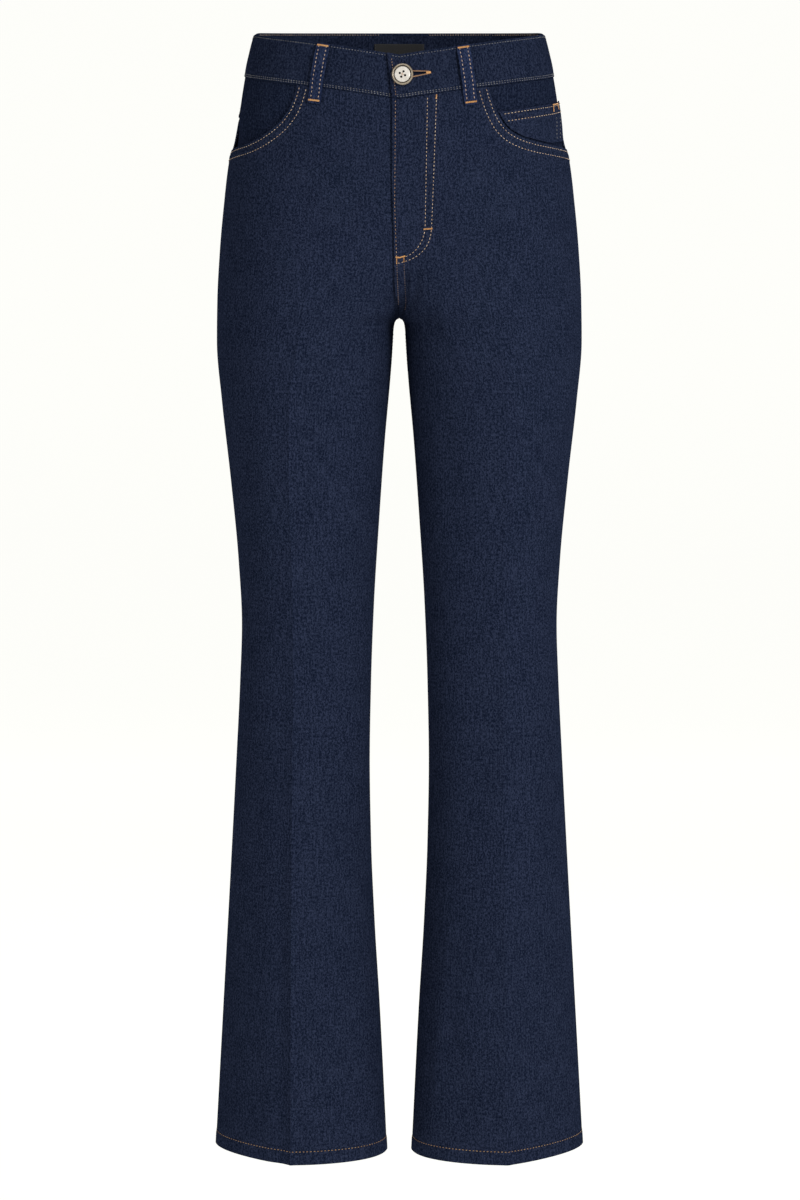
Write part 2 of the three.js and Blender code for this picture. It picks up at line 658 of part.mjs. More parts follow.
// A belt loop is a strip that lies on the waistband and reaches well below it. top and
// bottom give its middle line, as distances from the centre.
function beltLoop({ side, face, top, bottom }) {
  const span = { from: 0.6, to: bandDepth + 16 };
  const rows = [0, 0.06, 0.13, 0.27, 0.4, 0.54, 0.64, 0.71, 0.76, 0.81, 0.9, 1];
  const spots = rows.map((b) => {
    const d = mix(span.from, span.to, b);
    const middle = mix(top, bottom, b);
    return steps(-0.5, 0.5, 2).map((a) => {
      const x = middle + a * loopWidth;
      return { side, face, u: x / sectionLength(face, d), d, b };
    });
  });
  const low = (s) => {
    const onBand = bandOut * (1 - ease(bandDepth + 1, bandDepth + 4, s.d));
    return onBand + seamGap + loopBow * ease(0, 0.27, s.b) * (1 - ease(0.54, 0.8, s.b));
  };
  return clothPiece(spots, low, (s) => low(s) + loopThick);
}

// A back patch pocket: straight sides that narrow a little and a pointed bottom.
function patchPocket(side) {
  const p = backPocket;
  const spots = steps(0, 1, 12).map((b) =>
    steps(-1, 1, 10).map((a) => {
      const reach = mix(p.tip, p.sideHeight, abs(a)) * b;
      const width = mix(p.topWidth, p.footWidth, b);
      const d = p.top + 3 * a * (1 - b) + reach;
      const u = mix(p.middle, p.middle - 0.02, b) + (a * width) / 2 / sectionLength("back", 170);
      return { side, face: "back", u, d };
    }),
  );
  return clothPiece(spots, () => 0.5, () => 1.8);
}

// A strip behind the fly, and the closed zip between it and the top layer.
function strip({ from, to, top, bottom, low, high }) {
  const levels = steps(top, bottom, 12);
  const spots = levels.map((d) =>
    steps(from, to, 4).map((x) => ({ side: 1, face: "front", u: x / sectionLength("front", d), d })),
  );
  return clothPiece(spots, () => low, () => high);
}

// The woven label inside the centre back of the waistband.
function wovenLabel() {
  const spots = [label.top, label.bottom].map((d) => {
    const reach = label.width / 2 / sectionLength("back", d);
    return steps(-reach, reach, 6).map((u) => ({ side: 1, face: "back", u, d }));
  });
  const high = -bandIn - seamGap;
  return clothPiece(spots, () => high - label.thick, () => high);
}

// Finishes
const finish = (colour, roughness, metalness = 0) =>
  new THREE.MeshStandardMaterial({ color: colour, roughness, metalness });
const denim = finish(0x1f2639, 0.9);
const denimDeep = finish(0x1a2132, 0.92);
const buttonFinish = finish(0xd8d2cb, 0.35);
const labelFinish = finish(0x17161a, 0.7);
const zipFinish = finish(0x20242e, 0.6);

const jeans = new THREE.Group();
function add(name, geometry, material) {
  const mesh = new THREE.Mesh(geometry, material);
  mesh.name = name;
  jeans.add(mesh);
}

const sides = [
  { word: "left", side: 1 },
  { word: "right", side: -1 },
];
for (const { word, side } of sides) {
  add("front_panel_" + word, frontPanel(side), denim);
  add("back_panel_" + word, backPanel(side), denim);
  add("yoke_" + word, yoke(side), denim);
  add("pocket_facing_" + word, facing(side), denimDeep);
  add("back_pocket_" + word, patchPocket(side), denim);
}
add("coin_pocket", coinPocket(), denim);
const band = solidOf(waistband()).subtract(buttonholeCutter());
add("waistband", geometryOf(band), denim);
add("fly_shield", strip(flyShield), denimDeep);
add("zip", strip(zip), zipFinish);

const loops = [
  { side: 1, face: "front", top: 61, bottom: 69.5 },
  { side: -1, face: "front", top: 73, bottom: 83 },
  { side: 1, face: "back", top: 96, bottom: 99 },
  { side: -1, face: "back", top: 96, bottom: 99 },
  { side: 1, face: "back", top: 0, bottom: 0 },
];
loops.forEach((loop, i) => add("belt_loop_" + (i + 1), beltLoop(loop), denim));
add("button", button(), buttonFinish);
add("label", wovenLabel(), labelFinish);

export default jeans;
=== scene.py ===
# Flared five-pocket jeans in dark denim, filled out as worn, with nothing inside.
# The pattern is in millimetres, and left is the wearer's left, which is +X.
import math
import bmesh
import bpy
import numpy as np
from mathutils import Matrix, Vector


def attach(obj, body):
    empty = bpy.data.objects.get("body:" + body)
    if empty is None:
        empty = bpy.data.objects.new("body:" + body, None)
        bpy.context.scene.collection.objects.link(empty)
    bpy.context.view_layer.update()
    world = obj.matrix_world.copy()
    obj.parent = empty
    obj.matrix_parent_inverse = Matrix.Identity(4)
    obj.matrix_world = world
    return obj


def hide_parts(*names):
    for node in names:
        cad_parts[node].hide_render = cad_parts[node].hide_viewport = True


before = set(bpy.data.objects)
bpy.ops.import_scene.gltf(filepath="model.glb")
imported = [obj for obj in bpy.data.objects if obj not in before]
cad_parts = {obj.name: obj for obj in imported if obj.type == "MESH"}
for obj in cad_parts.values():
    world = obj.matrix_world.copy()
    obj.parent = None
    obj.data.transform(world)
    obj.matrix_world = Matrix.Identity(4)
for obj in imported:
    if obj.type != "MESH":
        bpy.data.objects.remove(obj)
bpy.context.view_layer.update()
mm = 0.001
print("frame loaded")


def table(names, *rows):
    return dict(zip(names.split(), np.array(rows, float).T))


# The side seam: d is the depth below the waist's top edge, half the distance from the middle.
sideSeam = table(
    "d half y",
    (0, 143, 2), (41, 152, 2), (104, 163.2, 3), (121, 168, 3), (165, 173.6, 4), (210, 177.8, 4),
    (260, 180.6, 4), (300, 181.2, 4), (358, 176.5, 4), (437, 167.8, 2), (517, 160.4, 0),
    (580, 157.4, 0), (638, 159.4, 0), (719, 163.7, 2), (841, 170.6, 3), (964, 177.8, 3),
    (1109, 186.1, 1),
)
# The centre front and centre back, from the waist to the crotch.
centre = table(
    "d frontY frontZ backY backZ",
    (0, -88, -25.5, 96, 11), (41, -93, -67.7, 104, -31), (100, -100, -124, 118, -88),
    (160, -102, -180, 130, -150), (205, -96, -221, 131, -198), (235, -83, -247, 119, -235),
    (258, -60, -265, 88, -261), (275, -29, -274.5, 45, -275), (285, 4, -277, 4, -277),
)
inseam = table(
    "d x y z",
    (285, 0, 4, -277), (287, 2.6, 4, -278), (290, 4.6, 3.5, -281.5), (295, 5.7, 3, -288.5),
    (305, 6.6, 1, -301), (340, 9.6, -6, -339), (398, 14.9, -12, -398), (477, 20.5, -14, -477),
    (557, 25.5, -14, -557), (638, 28.6, -13, -638), (719, 30, -11, -719), (800, 28.7, -9, -800),
    (882, 25.2, -8, -882), (964, 20.2, -10, -965), (1109, 12.9, -15, -1112),
)
# The pressed creases: turnIn and turnOut are how far the cloth falls away on each side.
crease = table(
    "d x front back turnIn turnOut",
    (105, 76, -99, 115, 0, 0), (160, 79, -103, 127, 0, 1), (215, 84, -104, 132.5, 0, 3),
    (260, 90, -102, 127.5, 1, 6), (300, 97, -98.5, 117.5, 2, 8), (358, 106, -94, 106, 4, 11),
    (437, 107, -87, 95, 5, 13), (517, 105, -79, 80, 5, 14), (580, 104, -73, 69, 5, 15),
    (638, 104, -71, 66, 6, 16), (719, 105, -73, 69, 6, 19), (841, 106, -77, 74, 7, 24),
    (964, 107, -80, 76, 8, 28), (1109, 108, -85, 80, 8, 32),
)
# How a section leaves the centre line or inseam, and how it comes into the crease.
inner = table(
    "d x front back arriveX",
    (105, 45, -100, 118, 31), (160, 40, -102.5, 129, 28), (205, 36, -100, 131.5, 26),
    (225, 31, -97.5, 130, 25), (245, 25, -93, 125, 24), (262, 18, -86, 115, 23),
    (275, 12.5, -77, 102, 22.5), (285, 9.5, -69, 90, 22.5), (300, 7.5, -59, 73, 23),
    (320, 8, -54, 57, 26), (340, 9.6, -52, 46, 31), (398, 14.9, -57, 34, 46),
    (477, 20.5, -56, 27, 55), (557, 25.5, -49, 20, 59), (638, 28.6, -46, 21, 61),
    (719, 30, -46, 24, 61.5), (800, 28.7, -46, 27, 60.5), (882, 25.2, -46.5, 28.5, 59),
    (964, 20.2, -49, 28, 57), (1109, 12.9, -55, 25, 53),
)
# The edges of the front pockets' mouths. The front is worn a little turned, so the left
# one reaches further in.
pocketMouth = {
    1: table("z x", (-112, 172), (-111, 162), (-109.4, 149), (-107, 133), (-103, 118), (-96, 105.5),
             (-86, 97.2), (-71.5, 90.7), (-55, 85.8), (-40, 83)),
    -1: table("z x", (-114, 172), (-111, 162), (-107, 146), (-97, 126.5), (-86, 113.5), (-71.5, 104),
              (-55, 98.6), (-40, 95.5)),
}
cut = {"outseam": 1109, "crotch": 285, "hemSag": 2, "sideRise": 2.8, "sideDrop": 4, "bandDepth": 41,
       "legFrom": 105, "legTo": 215, "hipRoundness": 2 / 2.25}


def mix(a, b, t):
    return a + (b - a) * t


def ease(start, end, v):
    t = np.clip((v - start) / (end - start), 0, 1)
    return t * t * (3 - 2 * t)


def bell(v, at, wide):
    return np.exp(-(((v - at) / wide) ** 2))


def smoothCurve(rows, name, key="d"):
    at, value = rows[key], rows[name]
    rise = np.diff(value) / np.diff(at)
    before, after = rise[:-1], rise[1:]
    even = before * after > 0
    slope = np.concatenate([rise[:1], np.zeros(len(rise) - 1), rise[-1:]])
    slope[1:-1][even] = 2 * before[even] * after[even] / (before[even] + after[even])

    def read(v):
        v = np.asarray(v, float)
        i = np.clip(np.searchsorted(at, v) - 1, 0, len(at) - 2)
        step = at[i + 1] - at[i]
        t = (v - at[i]) / step
        bend = t * (1 - t) * step * ((1 - t) * slope[i] - t * slope[i + 1])
        inside = mix(value[i], value[i + 1], t * t * (3 - 2 * t)) + bend
        below = value[0] + slope[0] * (v - at[0])
        above = value[-1] + slope[-1] * (v - at[-1])
        return np.where(v < at[0], below, np.where(v > at[-1], above, inside))

    return read


half, sideY = smoothCurve(sideSeam, "half"), smoothCurve(sideSeam, "y")
centreY = {face: smoothCurve(centre, face + "Y") for face in ("front", "back")}
centreZ = {face: smoothCurve(centre, face + "Z") for face in ("front", "back")}
inseamAt = {name: smoothCurve(inseam, name) for name in "xyz"}
creaseAt = {name: smoothCurve(crease, name) for name in ("x", "front", "back", "turnIn", "turnOut")}
innerAt = {name: smoothCurve(inner, name) for name in ("x", "front", "back", "arriveX")}
pocketX = {side: smoothCurve(rows, "x", "z") for side, rows in pocketMouth.items()}


def bezier(points, t):
    weights = ((1 - t) ** 3, 3 * (1 - t) ** 2 * t, 3 * (1 - t) * t**2, t**3)
    return [sum(w * p[k] for w, p in zip(weights, points)) for k in (0, 1)]


def innerEnd(face, d):
    above = d < cut["crotch"]
    y = np.where(above, centreY[face](d), inseamAt["y"](d))
    z = np.where(above, centreZ[face](d), inseamAt["z"](d))
    return np.where(above, 0, inseamAt["x"](d)), y, z


def evenly(x, y, count):
    step = np.hypot(np.diff(x), np.diff(y))
    along = np.concatenate([np.zeros((len(step), 1)), np.cumsum(step, 1)], 1)
    goal = np.linspace(0, 1, count + 1)
    spread = [[np.interp(goal * a[-1], a, row) for a, row in zip(along, rows)] for rows in (x, y)]
    return np.array(spread[0]), np.array(spread[1]), along[:, -1]


across = 192  # points of a section


def shapeOf(face):
    d = np.arange(0.0, cut["outseam"] + 1)[:, None]
    t = np.linspace(0, 1, 241)[None, :]
    endX, endY, endZ = innerEnd(face, d)
    side, sideDeep = half(d), sideY(d)
    hipX = mix(endX, side, np.sin(t * np.pi / 2) ** cut["hipRoundness"])
    hipY = sideDeep + (endY - sideDeep) * np.cos(t * np.pi / 2) ** cut["hipRoundness"]
    inward, fall = (1, 1) if face == "front" else (-1, 0.75)
    top, topY = creaseAt["x"](d), creaseAt[face](d)
    angle = np.radians(creaseAt["turnIn"](d) * fall)
    reach = top - innerAt["arriveX"](d)
    leave = innerAt["x"](d), innerAt[face](d)
    arrive = innerAt["arriveX"](d), topY + inward * reach * np.sin(angle)
    inside = bezier([(endX, endY), leave, arrive, (top, topY)], t)
    angle = np.radians(creaseAt["turnOut"](d) * fall)
    reach = 0.55 * (side - top)
    leave = top + reach * np.cos(angle), topY + inward * reach * np.sin(angle)
    arrive = side, mix(sideDeep, topY, mix(0.55, 0.38, ease(600, cut["outseam"], d)))
    outside = bezier([(top, topY), leave, arrive, (side, sideDeep)], t)
    hipX, hipY, hipLong = evenly(hipX, hipY, across)
    inX, inY, inLong = evenly(*inside, across // 2)
    outX, outY, outLong = evenly(*outside, across // 2)
    share = ease(cut["legFrom"], cut["legTo"], d)
    x = mix(hipX, np.concatenate([inX, outX[:, 1:]], 1), share)
    y = mix(hipY, np.concatenate([inY, outY[:, 1:]], 1), share)
    u = np.linspace(0, 1, across + 1)[None, :]
    sag = cut["hemSag"] * ease(900, cut["outseam"], d) * 4 * u * (1 - u)
    level = 1 - u * (1.1 - 0.1 * u)
    if face == "back":
        level = mix(1 - u**2.4, level, ease(cut["bandDepth"], 100, d))
    pull = mix(level, (1 - u) ** 2.2, ease(150, 260, d))
    sideZ = cut["sideRise"] * (1 - ease(0, 2 * cut["bandDepth"], d)) - d
    drop = cut["sideDrop"] * ease(0.82, 1, u) ** 2 * (1 - ease(0, cut["bandDepth"], d))
    points = np.stack([x, y, mix(sideZ, endZ, pull) - sag - drop], -1)
    over = np.gradient(points, axis=1)
    over[: cut["crotch"], 0] = (1, 0, 0)
    down = np.gradient(points, axis=0)
    normal = np.cross(down, over) if face == "front" else np.cross(over, down)
    normal /= np.linalg.norm(normal, axis=-1, keepdims=True)
    step = np.hypot(np.diff(x), np.diff(y))
    along = np.concatenate([np.zeros((len(step), 1)), np.cumsum(step, 1)], 1)[..., None]
    return {"points": points, "normals": normal, "along": along,
            "long": mix(hipLong, inLong + outLong, share[:, 0])}


shapes = {face: shapeOf(face) for face in ("front", "back")}


def longAt(face, d):
    return np.interp(d, np.arange(cut["outseam"] + 1), shapes[face]["long"])


def lookUp(grid, u, d):
    a, b = np.clip(np.abs(u), 0, 1) * across, np.clip(d, 0, cut["outseam"])
    i = np.minimum(a.astype(int), across - 1)
    j = np.minimum(b.astype(int), cut["outseam"] - 1)
    s, t = (a - i)[..., None], (b - j)[..., None]
    return mix(mix(grid[j, i], grid[j, i + 1], s), mix(grid[j + 1, i], grid[j + 1, i + 1], s), t)


def onCloth(side, face, u, d, off=0.0):
    # Points and normals of the cloth: side is 1 for the left, u runs from the middle or inseam (0)
    # to the side seam (1), d is the depth below the waist and off the distance outside the cloth
    u, d, off = np.broadcast_arrays(np.asarray(u, float), np.asarray(d, float), off)
    point, normal = lookUp(shapes[face]["points"], u, d), lookUp(shapes[face]["normals"], u, d)
    normal = normal / np.linalg.norm(normal, axis=-1, keepdims=True)
    flip = np.stack([np.where(u < 0, -side, side), np.ones_like(u), np.ones_like(u)], -1)
    return (point + normal * off[..., None]) * flip, normal * flip


# Seams, hems and the two layers of the fly
sewing = {"gap": 0.3, "seam": 0.06, "cloth": 1.4, "bandIn": 1.8, "bandOut": 1.0, "hem": 14,
          "hemExtra": 1.5, "underEnd": 24}
fly = {"overlap": 7, "end": 240, "lift": 1.5, "dip": 1.0, "bandLift": 1.6, "bandDip": 1.5}
yoke = {"width": 224, "middle": 103, "side": 79}
bandEdge = cut["bandDepth"] + sewing["gap"] / 2


def halve(test, low, high):
    # The place between low and high where test turns from below 0 to above it
    for _ in range(26):
        middle = (low + high) / 2
        below = test(middle) < 0
        low, high = np.where(below, middle, low), np.where(below, high, middle)
    return (low + high) / 2


def pastPocket(side, u, d):
    point = onCloth(1, "front", u, d)[0]
    return point[..., 0] - pocketX[side](point[..., 2])


def edgeOfPocket(side, count=160):
    # The mouth of a front pocket as u and d, from the waistband to the side seam
    steep = np.linspace(bandEdge, 85, 60)
    steepU = halve(lambda u: pastPocket(side, u, steep), np.zeros(60), np.ones(60))
    flatU = np.linspace(steepU[-1], 1, 100)[1:]
    flat = halve(lambda d: -pastPocket(side, flatU, d), np.full(99, 60.0), np.full(99, 150.0))
    u, d = np.concatenate([steepU, flatU]), np.concatenate([steep, flat])
    long = longOf(onCloth(1, "front", u, d)[0])
    goal = np.linspace(0, long[-1], count)
    return np.interp(goal, long, u), np.interp(goal, long, d)


def longOf(points):
    step = np.linalg.norm(np.diff(points, axis=0), axis=-1)
    return np.concatenate([[0], np.cumsum(step)])


mouth = {side: edgeOfPocket(side) for side in (1, -1)}
mouthPoints = {side: onCloth(1, "front", *mouth[side])[0] for side in mouth}


def fromMouth(side, u, d):
    # Distance to the edge of the front pocket's mouth
    point = onCloth(1, "front", np.abs(u), d)[0]
    near = np.full(point.shape[:-1], 1e9)
    for spot in mouthPoints[side][::2]:
        near = np.minimum(near, np.linalg.norm(point - spot, axis=-1))
    return near


def topOfBack(u):
    return mix(yoke["middle"], yoke["side"], np.abs(u))  # the yoke's seam


# Soft folds: where (s from the crease towards the side, d), how long and wide,
# how deep, and the turn of the line from upright in degrees. Ridges have a positive depth.
folds = {
    ("front", 1): [
        (-62, 292, 70, 13, -1.6, 24), (-40, 330, 90, 16, 0.9, 18), (-58, 420, 150, 14, -1.0, 6),
        (-18, 700, 90, 15, -0.9, -12), (26, 668, 60, 12, 0.8, 30), (-70, 985, 150, 9, 1.3, -6),
        (-48, 1020, 130, 13, -1.5, 10), (40, 560, 120, 22, -0.8, -8), (-25, 180, 80, 20, -0.7, 52),
        (58, 880, 160, 20, 0.7, 4),
    ],
    ("front", -1): [
        (-60, 286, 64, 12, -1.8, 30), (-36, 318, 80, 15, 1.0, 20), (-44, 748, 100, 11, -1.4, 24),
        (-60, 700, 70, 12, 0.9, 16), (30, 600, 90, 20, -0.8, -10), (-72, 500, 160, 15, -0.9, 4),
        (44, 800, 180, 20, -1.0, 2), (-60, 1000, 120, 13, -0.9, -5), (-30, 170, 90, 22, -0.6, -50),
        (-20, 930, 110, 18, 0.7, 14),
    ],
    ("back", 1): [
        (-50, 300, 90, 15, -2.2, 34), (-30, 330, 100, 18, 1.5, 30), (-46, 352, 80, 14, -1.6, 42),
        (-20, 600, 70, 11, -2.0, 64), (-4, 628, 80, 12, -1.8, 78), (18, 655, 70, 11, -1.5, 70),
        (-36, 640, 50, 10, 1.3, 60), (50, 420, 160, 22, -1.0, 6), (40, 900, 170, 20, -1.2, -4),
        (-50, 930, 150, 16, 1.1, 6), (-60, 200, 60, 20, -0.9, 60),
    ],
    ("back", -1): [
        (-52, 306, 84, 15, -2.0, 30), (-28, 326, 96, 17, 1.6, 34), (-50, 358, 76, 13, -1.7, 46),
        (-14, 590, 76, 11, -1.8, 70), (6, 622, 70, 12, -2.0, 62), (-30, 648, 66, 11, -1.4, 74),
        (30, 610, 50, 10, 1.2, 66), (46, 450, 150, 22, -0.9, -5), (-44, 880, 160, 18, -1.2, 5),
        (46, 960, 150, 18, 1.0, -6), (-58, 210, 66, 20, -0.8, 56),
    ],
}


def foldsAt(side, face, u, d):
    s = (np.abs(u) - 0.5) * longAt(face, d)
    rise = np.zeros(np.broadcast(u, d).shape)
    for place, level, long, wide, deep, turn in folds[face, side]:
        c, q = math.cos(math.radians(turn)), math.sin(math.radians(turn))
        down, over = d - level, s - place
        along, aside = down * c + over * q, over * c - down * q
        reach = wide * np.where(aside > 0, 0.75, 1.25)
        rise += deep * bell(aside, 0, reach) * np.exp(-np.abs(along / long * 1.6) ** 2.6)
    return rise * ease(60, 130, d) * (1 - 0.7 * ease(1060, 1109, d))


creases = {"from": 150, "to": 380, "ridge": 0.9, "ridgeWide": 1.8, "hollow": 1.7, "hollowAt": 13,
           "hollowWide": 9, "swell": 0.5, "swellWide": 4, "line": 0.8, "lineWide": 1.1,
           "hemSoft": 1.3, "softFrom": 960, "softWide": 17}


def pressed(side, face, u, d):
    # A pressed crease: a ridge with a hollow outside it on the right leg, a fine line on the
    # left one. Both go soft at the hem.
    s = (np.abs(u) - 0.5) * longAt(face, d)
    c = creases
    share = ease(c["from"], c["to"], d)
    soft = c["hemSoft"] * ease(c["softFrom"], cut["outseam"], d) * bell(s, 0, c["softWide"])
    if side < 0 or face == "back":
        ridge = c["ridge"] * np.exp(-np.abs(s / c["ridgeWide"]))
        hollow = c["hollow"] * bell(s, c["hollowAt"], c["hollowWide"]) * (0.3 + 0.7 * ease(500, 900, d))
        return share * (ridge - hollow) - soft
    return share * (c["swell"] * bell(s, 0, c["swellWide"]) - c["line"] * bell(s, 0, c["lineWide"])) - soft


# Small relief of the seams, in mm: how deep a row of sewing sinks, how much cloth lies double
relief = {"row": 0.3, "rowWide": 1.3, "mouthRows": (3.2, 9.6), "doubled": 0.5, "mouthDoubled": (10.2, 13),
          "inseamRow": 5, "inseamDoubled": (6, 9), "hemDoubled": 0.45, "hemRow": 0.35, "hemRowWide": 1.5,
          "sideFall": 0.35, "sideWide": 4, "crotchDips": ((3.0, 9, 4.5), (1.2, 25, 6))}


def frontRise(side, u, d):
    long = longAt("front", d)
    x, toSeam = u * long, (1 - np.abs(u)) * long
    share = 1 - ease(fly["end"] + 25, fly["end"] + 50, d)
    if side > 0:
        rise = fly["lift"] * share * (1 - ease(0, fly["overlap"] * 1.2, x))
    else:
        rise = -fly["dip"] * share * (1 - ease(fly["overlap"] * 1.05, fly["overlap"] * 1.9, x))
    near = fromMouth(side, u, np.minimum(d, 150)) + np.maximum(d - 150, 0)
    rise = rise + relief["doubled"] * (1 - ease(*relief["mouthDoubled"], near))
    for row in relief["mouthRows"]:
        rise -= relief["row"] * bell(near, row, relief["rowWide"])
    rise += pressed(side, "front", u, d)
    rise += hemRise(d) + foldsAt(side, "front", u, d)
    if side > 0:
        # The cloth dips beside the crotch seam
        dips = sum(deep * bell(x, at, wide) for deep, at, wide in relief["crotchDips"])
        rise -= ease(208, 232, d) * (1 - ease(262, 284, d)) * dips
    leg = ease(cut["crotch"] + 6, cut["crotch"] + 40, d)
    rise += relief["doubled"] * leg * (1 - ease(*relief["inseamDoubled"], x))
    rise -= relief["row"] * leg * bell(x, relief["inseamRow"], 1.4)
    return rise - relief["sideFall"] * (1 - ease(0, relief["sideWide"], toSeam)) * ease(118, 124, d)


def hemRise(d):
    row = cut["outseam"] - sewing["hem"]
    doubled = relief["hemDoubled"] * ease(row - 1.5, row + 1.5, d)
    return doubled - relief["hemRow"] * bell(d, row + 0.6, relief["hemRowWide"])


def backRise(side, u, d):
    long = longAt("back", d)
    x, toSeam = u * long, (1 - np.abs(u)) * long
    below = d - topOfBack(u)
    rise = hemRise(d) + foldsAt(side, "back", u, d) + pressed(side, "back", u, d)
    rise = rise - 0.7 * (1 - ease(0, 5, below)) * (below > 0)
    rise = rise + 0.6 * (1 - ease(0, 9, -below)) * (below <= 0)
    seat = (1 - ease(cut["crotch"] - 12, cut["crotch"], d)) * ease(10, 40, d)
    wide = 11 if side > 0 else 2.5
    rise += (0.55 if side > 0 else -0.5) * seat * (1 - ease(wide - 2.5, wide, x))
    return rise - relief["sideFall"] * (1 - ease(0, relief["sideWide"], toSeam)) * ease(60, 70, d)


# Cloth pieces
def setPoints(piece, points):
    piece.data.vertices.foreach_set("co", (points * mm).astype(np.float32).ravel())
    piece.data.update()


def onlyActive(piece):
    if bpy.context.object and bpy.context.object.mode != "OBJECT":
        bpy.ops.object.mode_set(mode="OBJECT")
    bpy.ops.object.select_all(action="DESELECT")
    bpy.context.view_layer.objects.active = piece
    piece.select_set(True)


def applyModifier(piece, kind, **values):
    onlyActive(piece)
    modifier = piece.modifiers.new(kind.lower(), kind)
    for name, value in values.items():
        setattr(modifier, name, value)
    bpy.ops.object.modifier_apply(modifier=modifier.name)


def clothFrom(name, high, low, uv, edge=0.42):
    # A wall of cloth between a grid of outer points and a grid of inner points
    bpy.ops.object.select_all(action="DESELECT")
    rows, cols = high.shape[:2]
    bpy.ops.mesh.primitive_grid_add(x_subdivisions=cols - 1, y_subdivisions=rows - 1, size=1)
    piece = bpy.context.object
    piece.name = piece.data.name = name
    setPoints(piece, high.reshape(-1, 3))
    corner = np.zeros(len(piece.data.loops), int)
    piece.data.loops.foreach_get("vertex_index", corner)
    layer = piece.data.uv_layers[0]
    layer.name = "cloth"
    layer.uv.foreach_set("vector", (uv.reshape(-1, 2)[corner] * mm).astype(np.float32).ravel())
    out = (high - low)[rows // 2, cols // 2]
    if Vector(out).dot(piece.data.polygons[(rows // 2) * (cols - 1) + cols // 2].normal) < 0:
        onlyActive(piece)
        bpy.ops.object.mode_set(mode="EDIT")
        bpy.ops.mesh.select_all(action="SELECT")
        bpy.ops.mesh.flip_normals()
        bpy.ops.object.mode_set(mode="OBJECT")
    applyModifier(piece, "SOLIDIFY", thickness=sewing["cloth"] * mm, offset=-1, material_offset=1)
    setPoints(piece, np.concatenate([high.reshape(-1, 3), low.reshape(-1, 3)]))
    if edge:
        applyModifier(piece, "BEVEL", width=edge * mm, segments=2, limit_method="ANGLE",
                      angle_limit=math.radians(50))
    onlyActive(piece)
    bpy.ops.object.shade_smooth_by_angle(angle=math.radians(40))
    return piece


def dress(piece, slot, *nodes, materials=()):
    piece.data.materials.clear()
    for material in materials:
        piece.data.materials.append(material)
    if nodes:
        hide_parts(*nodes)
    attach(piece, "root")
    return piece


# Distances of the first and last columns from a panel's edges, as shares of its width
edgeShares = np.array([0, 0.0035, 0.008, 0.014, 0.021, 0.029, 0.038, 0.048])
creaseShares = 0.5 + np.array([-0.013, -0.007, -0.0035, 0, 0.0035, 0.007, 0.013])
columnShares = np.concatenate([edgeShares, np.linspace(0.059, 0.475, 32), creaseShares,
                               np.linspace(0.525, 0.941, 32), 1 - edgeShares[::-1]])
splitLevel = 190  # above this level the rows follow the pocket's mouth or the yoke's seam
legRows = np.concatenate([
    np.linspace(splitLevel, 250, 24)[1:], np.linspace(250, 314, 30)[1:], np.linspace(314, 1062, 214)[1:],
    np.linspace(1062, 1090, 10)[1:], [1091.5, 1093, 1094.5, 1096, 1098, 1101, 1104, 1106.5, 1108, 1109],
])


def frontSpots(side):
    overlap = mix(fly["overlap"], -sewing["seam"] / 2, ease(fly["end"], fly["end"] + 25, legRows))
    start = -overlap if side > 0 else np.full(len(legRows), sewing["seam"] / 2)
    start = np.where(legRows < cut["crotch"], start, sewing["seam"] / 2)
    long = longAt("front", legRows)
    legU = mix((start / long)[:, None], (1 - sewing["seam"] / 2 / long)[:, None], columnShares[None, :])
    legD = np.broadcast_to(legRows[:, None], legU.shape)
    first = (-fly["overlap"] if side > 0 else sewing["seam"] / 2) / longAt("front", bandEdge)
    mouthU, mouthD = mouth[side]
    band = np.linspace(first, mouthU[0], 60)[:-1]
    topU = np.concatenate([band, mouthU])
    topD = np.concatenate([np.full(59, bandEdge), mouthD])
    along = longOf(onCloth(1, "front", topU, topD)[0])
    goal = columnShares * along[-1]
    topU, topD = np.interp(goal, along, topU), np.interp(goal, along, topD)
    width = longAt("front", splitLevel)
    lowStart = (-fly["overlap"] if side > 0 else sewing["seam"] / 2) / width
    lowU = mix(lowStart, 1 - sewing["seam"] / 2 / width, columnShares)
    share = np.linspace(0, 1, 56)[:, None]
    u, d = mix(topU, lowU, share), mix(topD, splitLevel, share)
    return np.concatenate([u, legU]), np.concatenate([d, legD])


def backSpots():
    long = longAt("back", legRows)[:, None]
    gap = sewing["seam"] / 2
    legU = mix(gap / long, 1 - gap / long, columnShares[None, :])
    legD = np.broadcast_to(legRows[:, None], legU.shape)
    topU = mix(gap / yoke["width"], 1 - gap / yoke["width"], columnShares)
    share = np.linspace(0, 1, 46)[:, None]
    d = mix(topOfBack(topU) + gap, splitLevel, share)
    return np.concatenate([np.broadcast_to(topU, d.shape), legU]), np.concatenate([d, legD])


def clothMap(side, face, u, d):
    # Distances over the cloth, from the crease and above the legs from a line beside the
    # middle, and down: the warp runs along them and the weave keeps its size
    turn = side if face == "front" else -side
    along, middle = (lookUp(shapes[face]["along"], v, level)[..., 0]
                     for v, level in ((u, d), (0.5 + 0 * u, np.maximum(d, cut["legTo"]))))
    return np.stack([turn * (np.sign(u) * along - middle), -d], -1)


def panel(name, side, face, u, d, rise, nodes, thick=sewing["cloth"]):
    high = onCloth(side, face, u, d, rise)[0]
    low = onCloth(side, face, u, d, rise - thick)[0]
    piece = clothFrom(name, high, low, clothMap(side, face, u, d))
    return dress(piece, "denim", *nodes, materials=(denim, denimReverse))


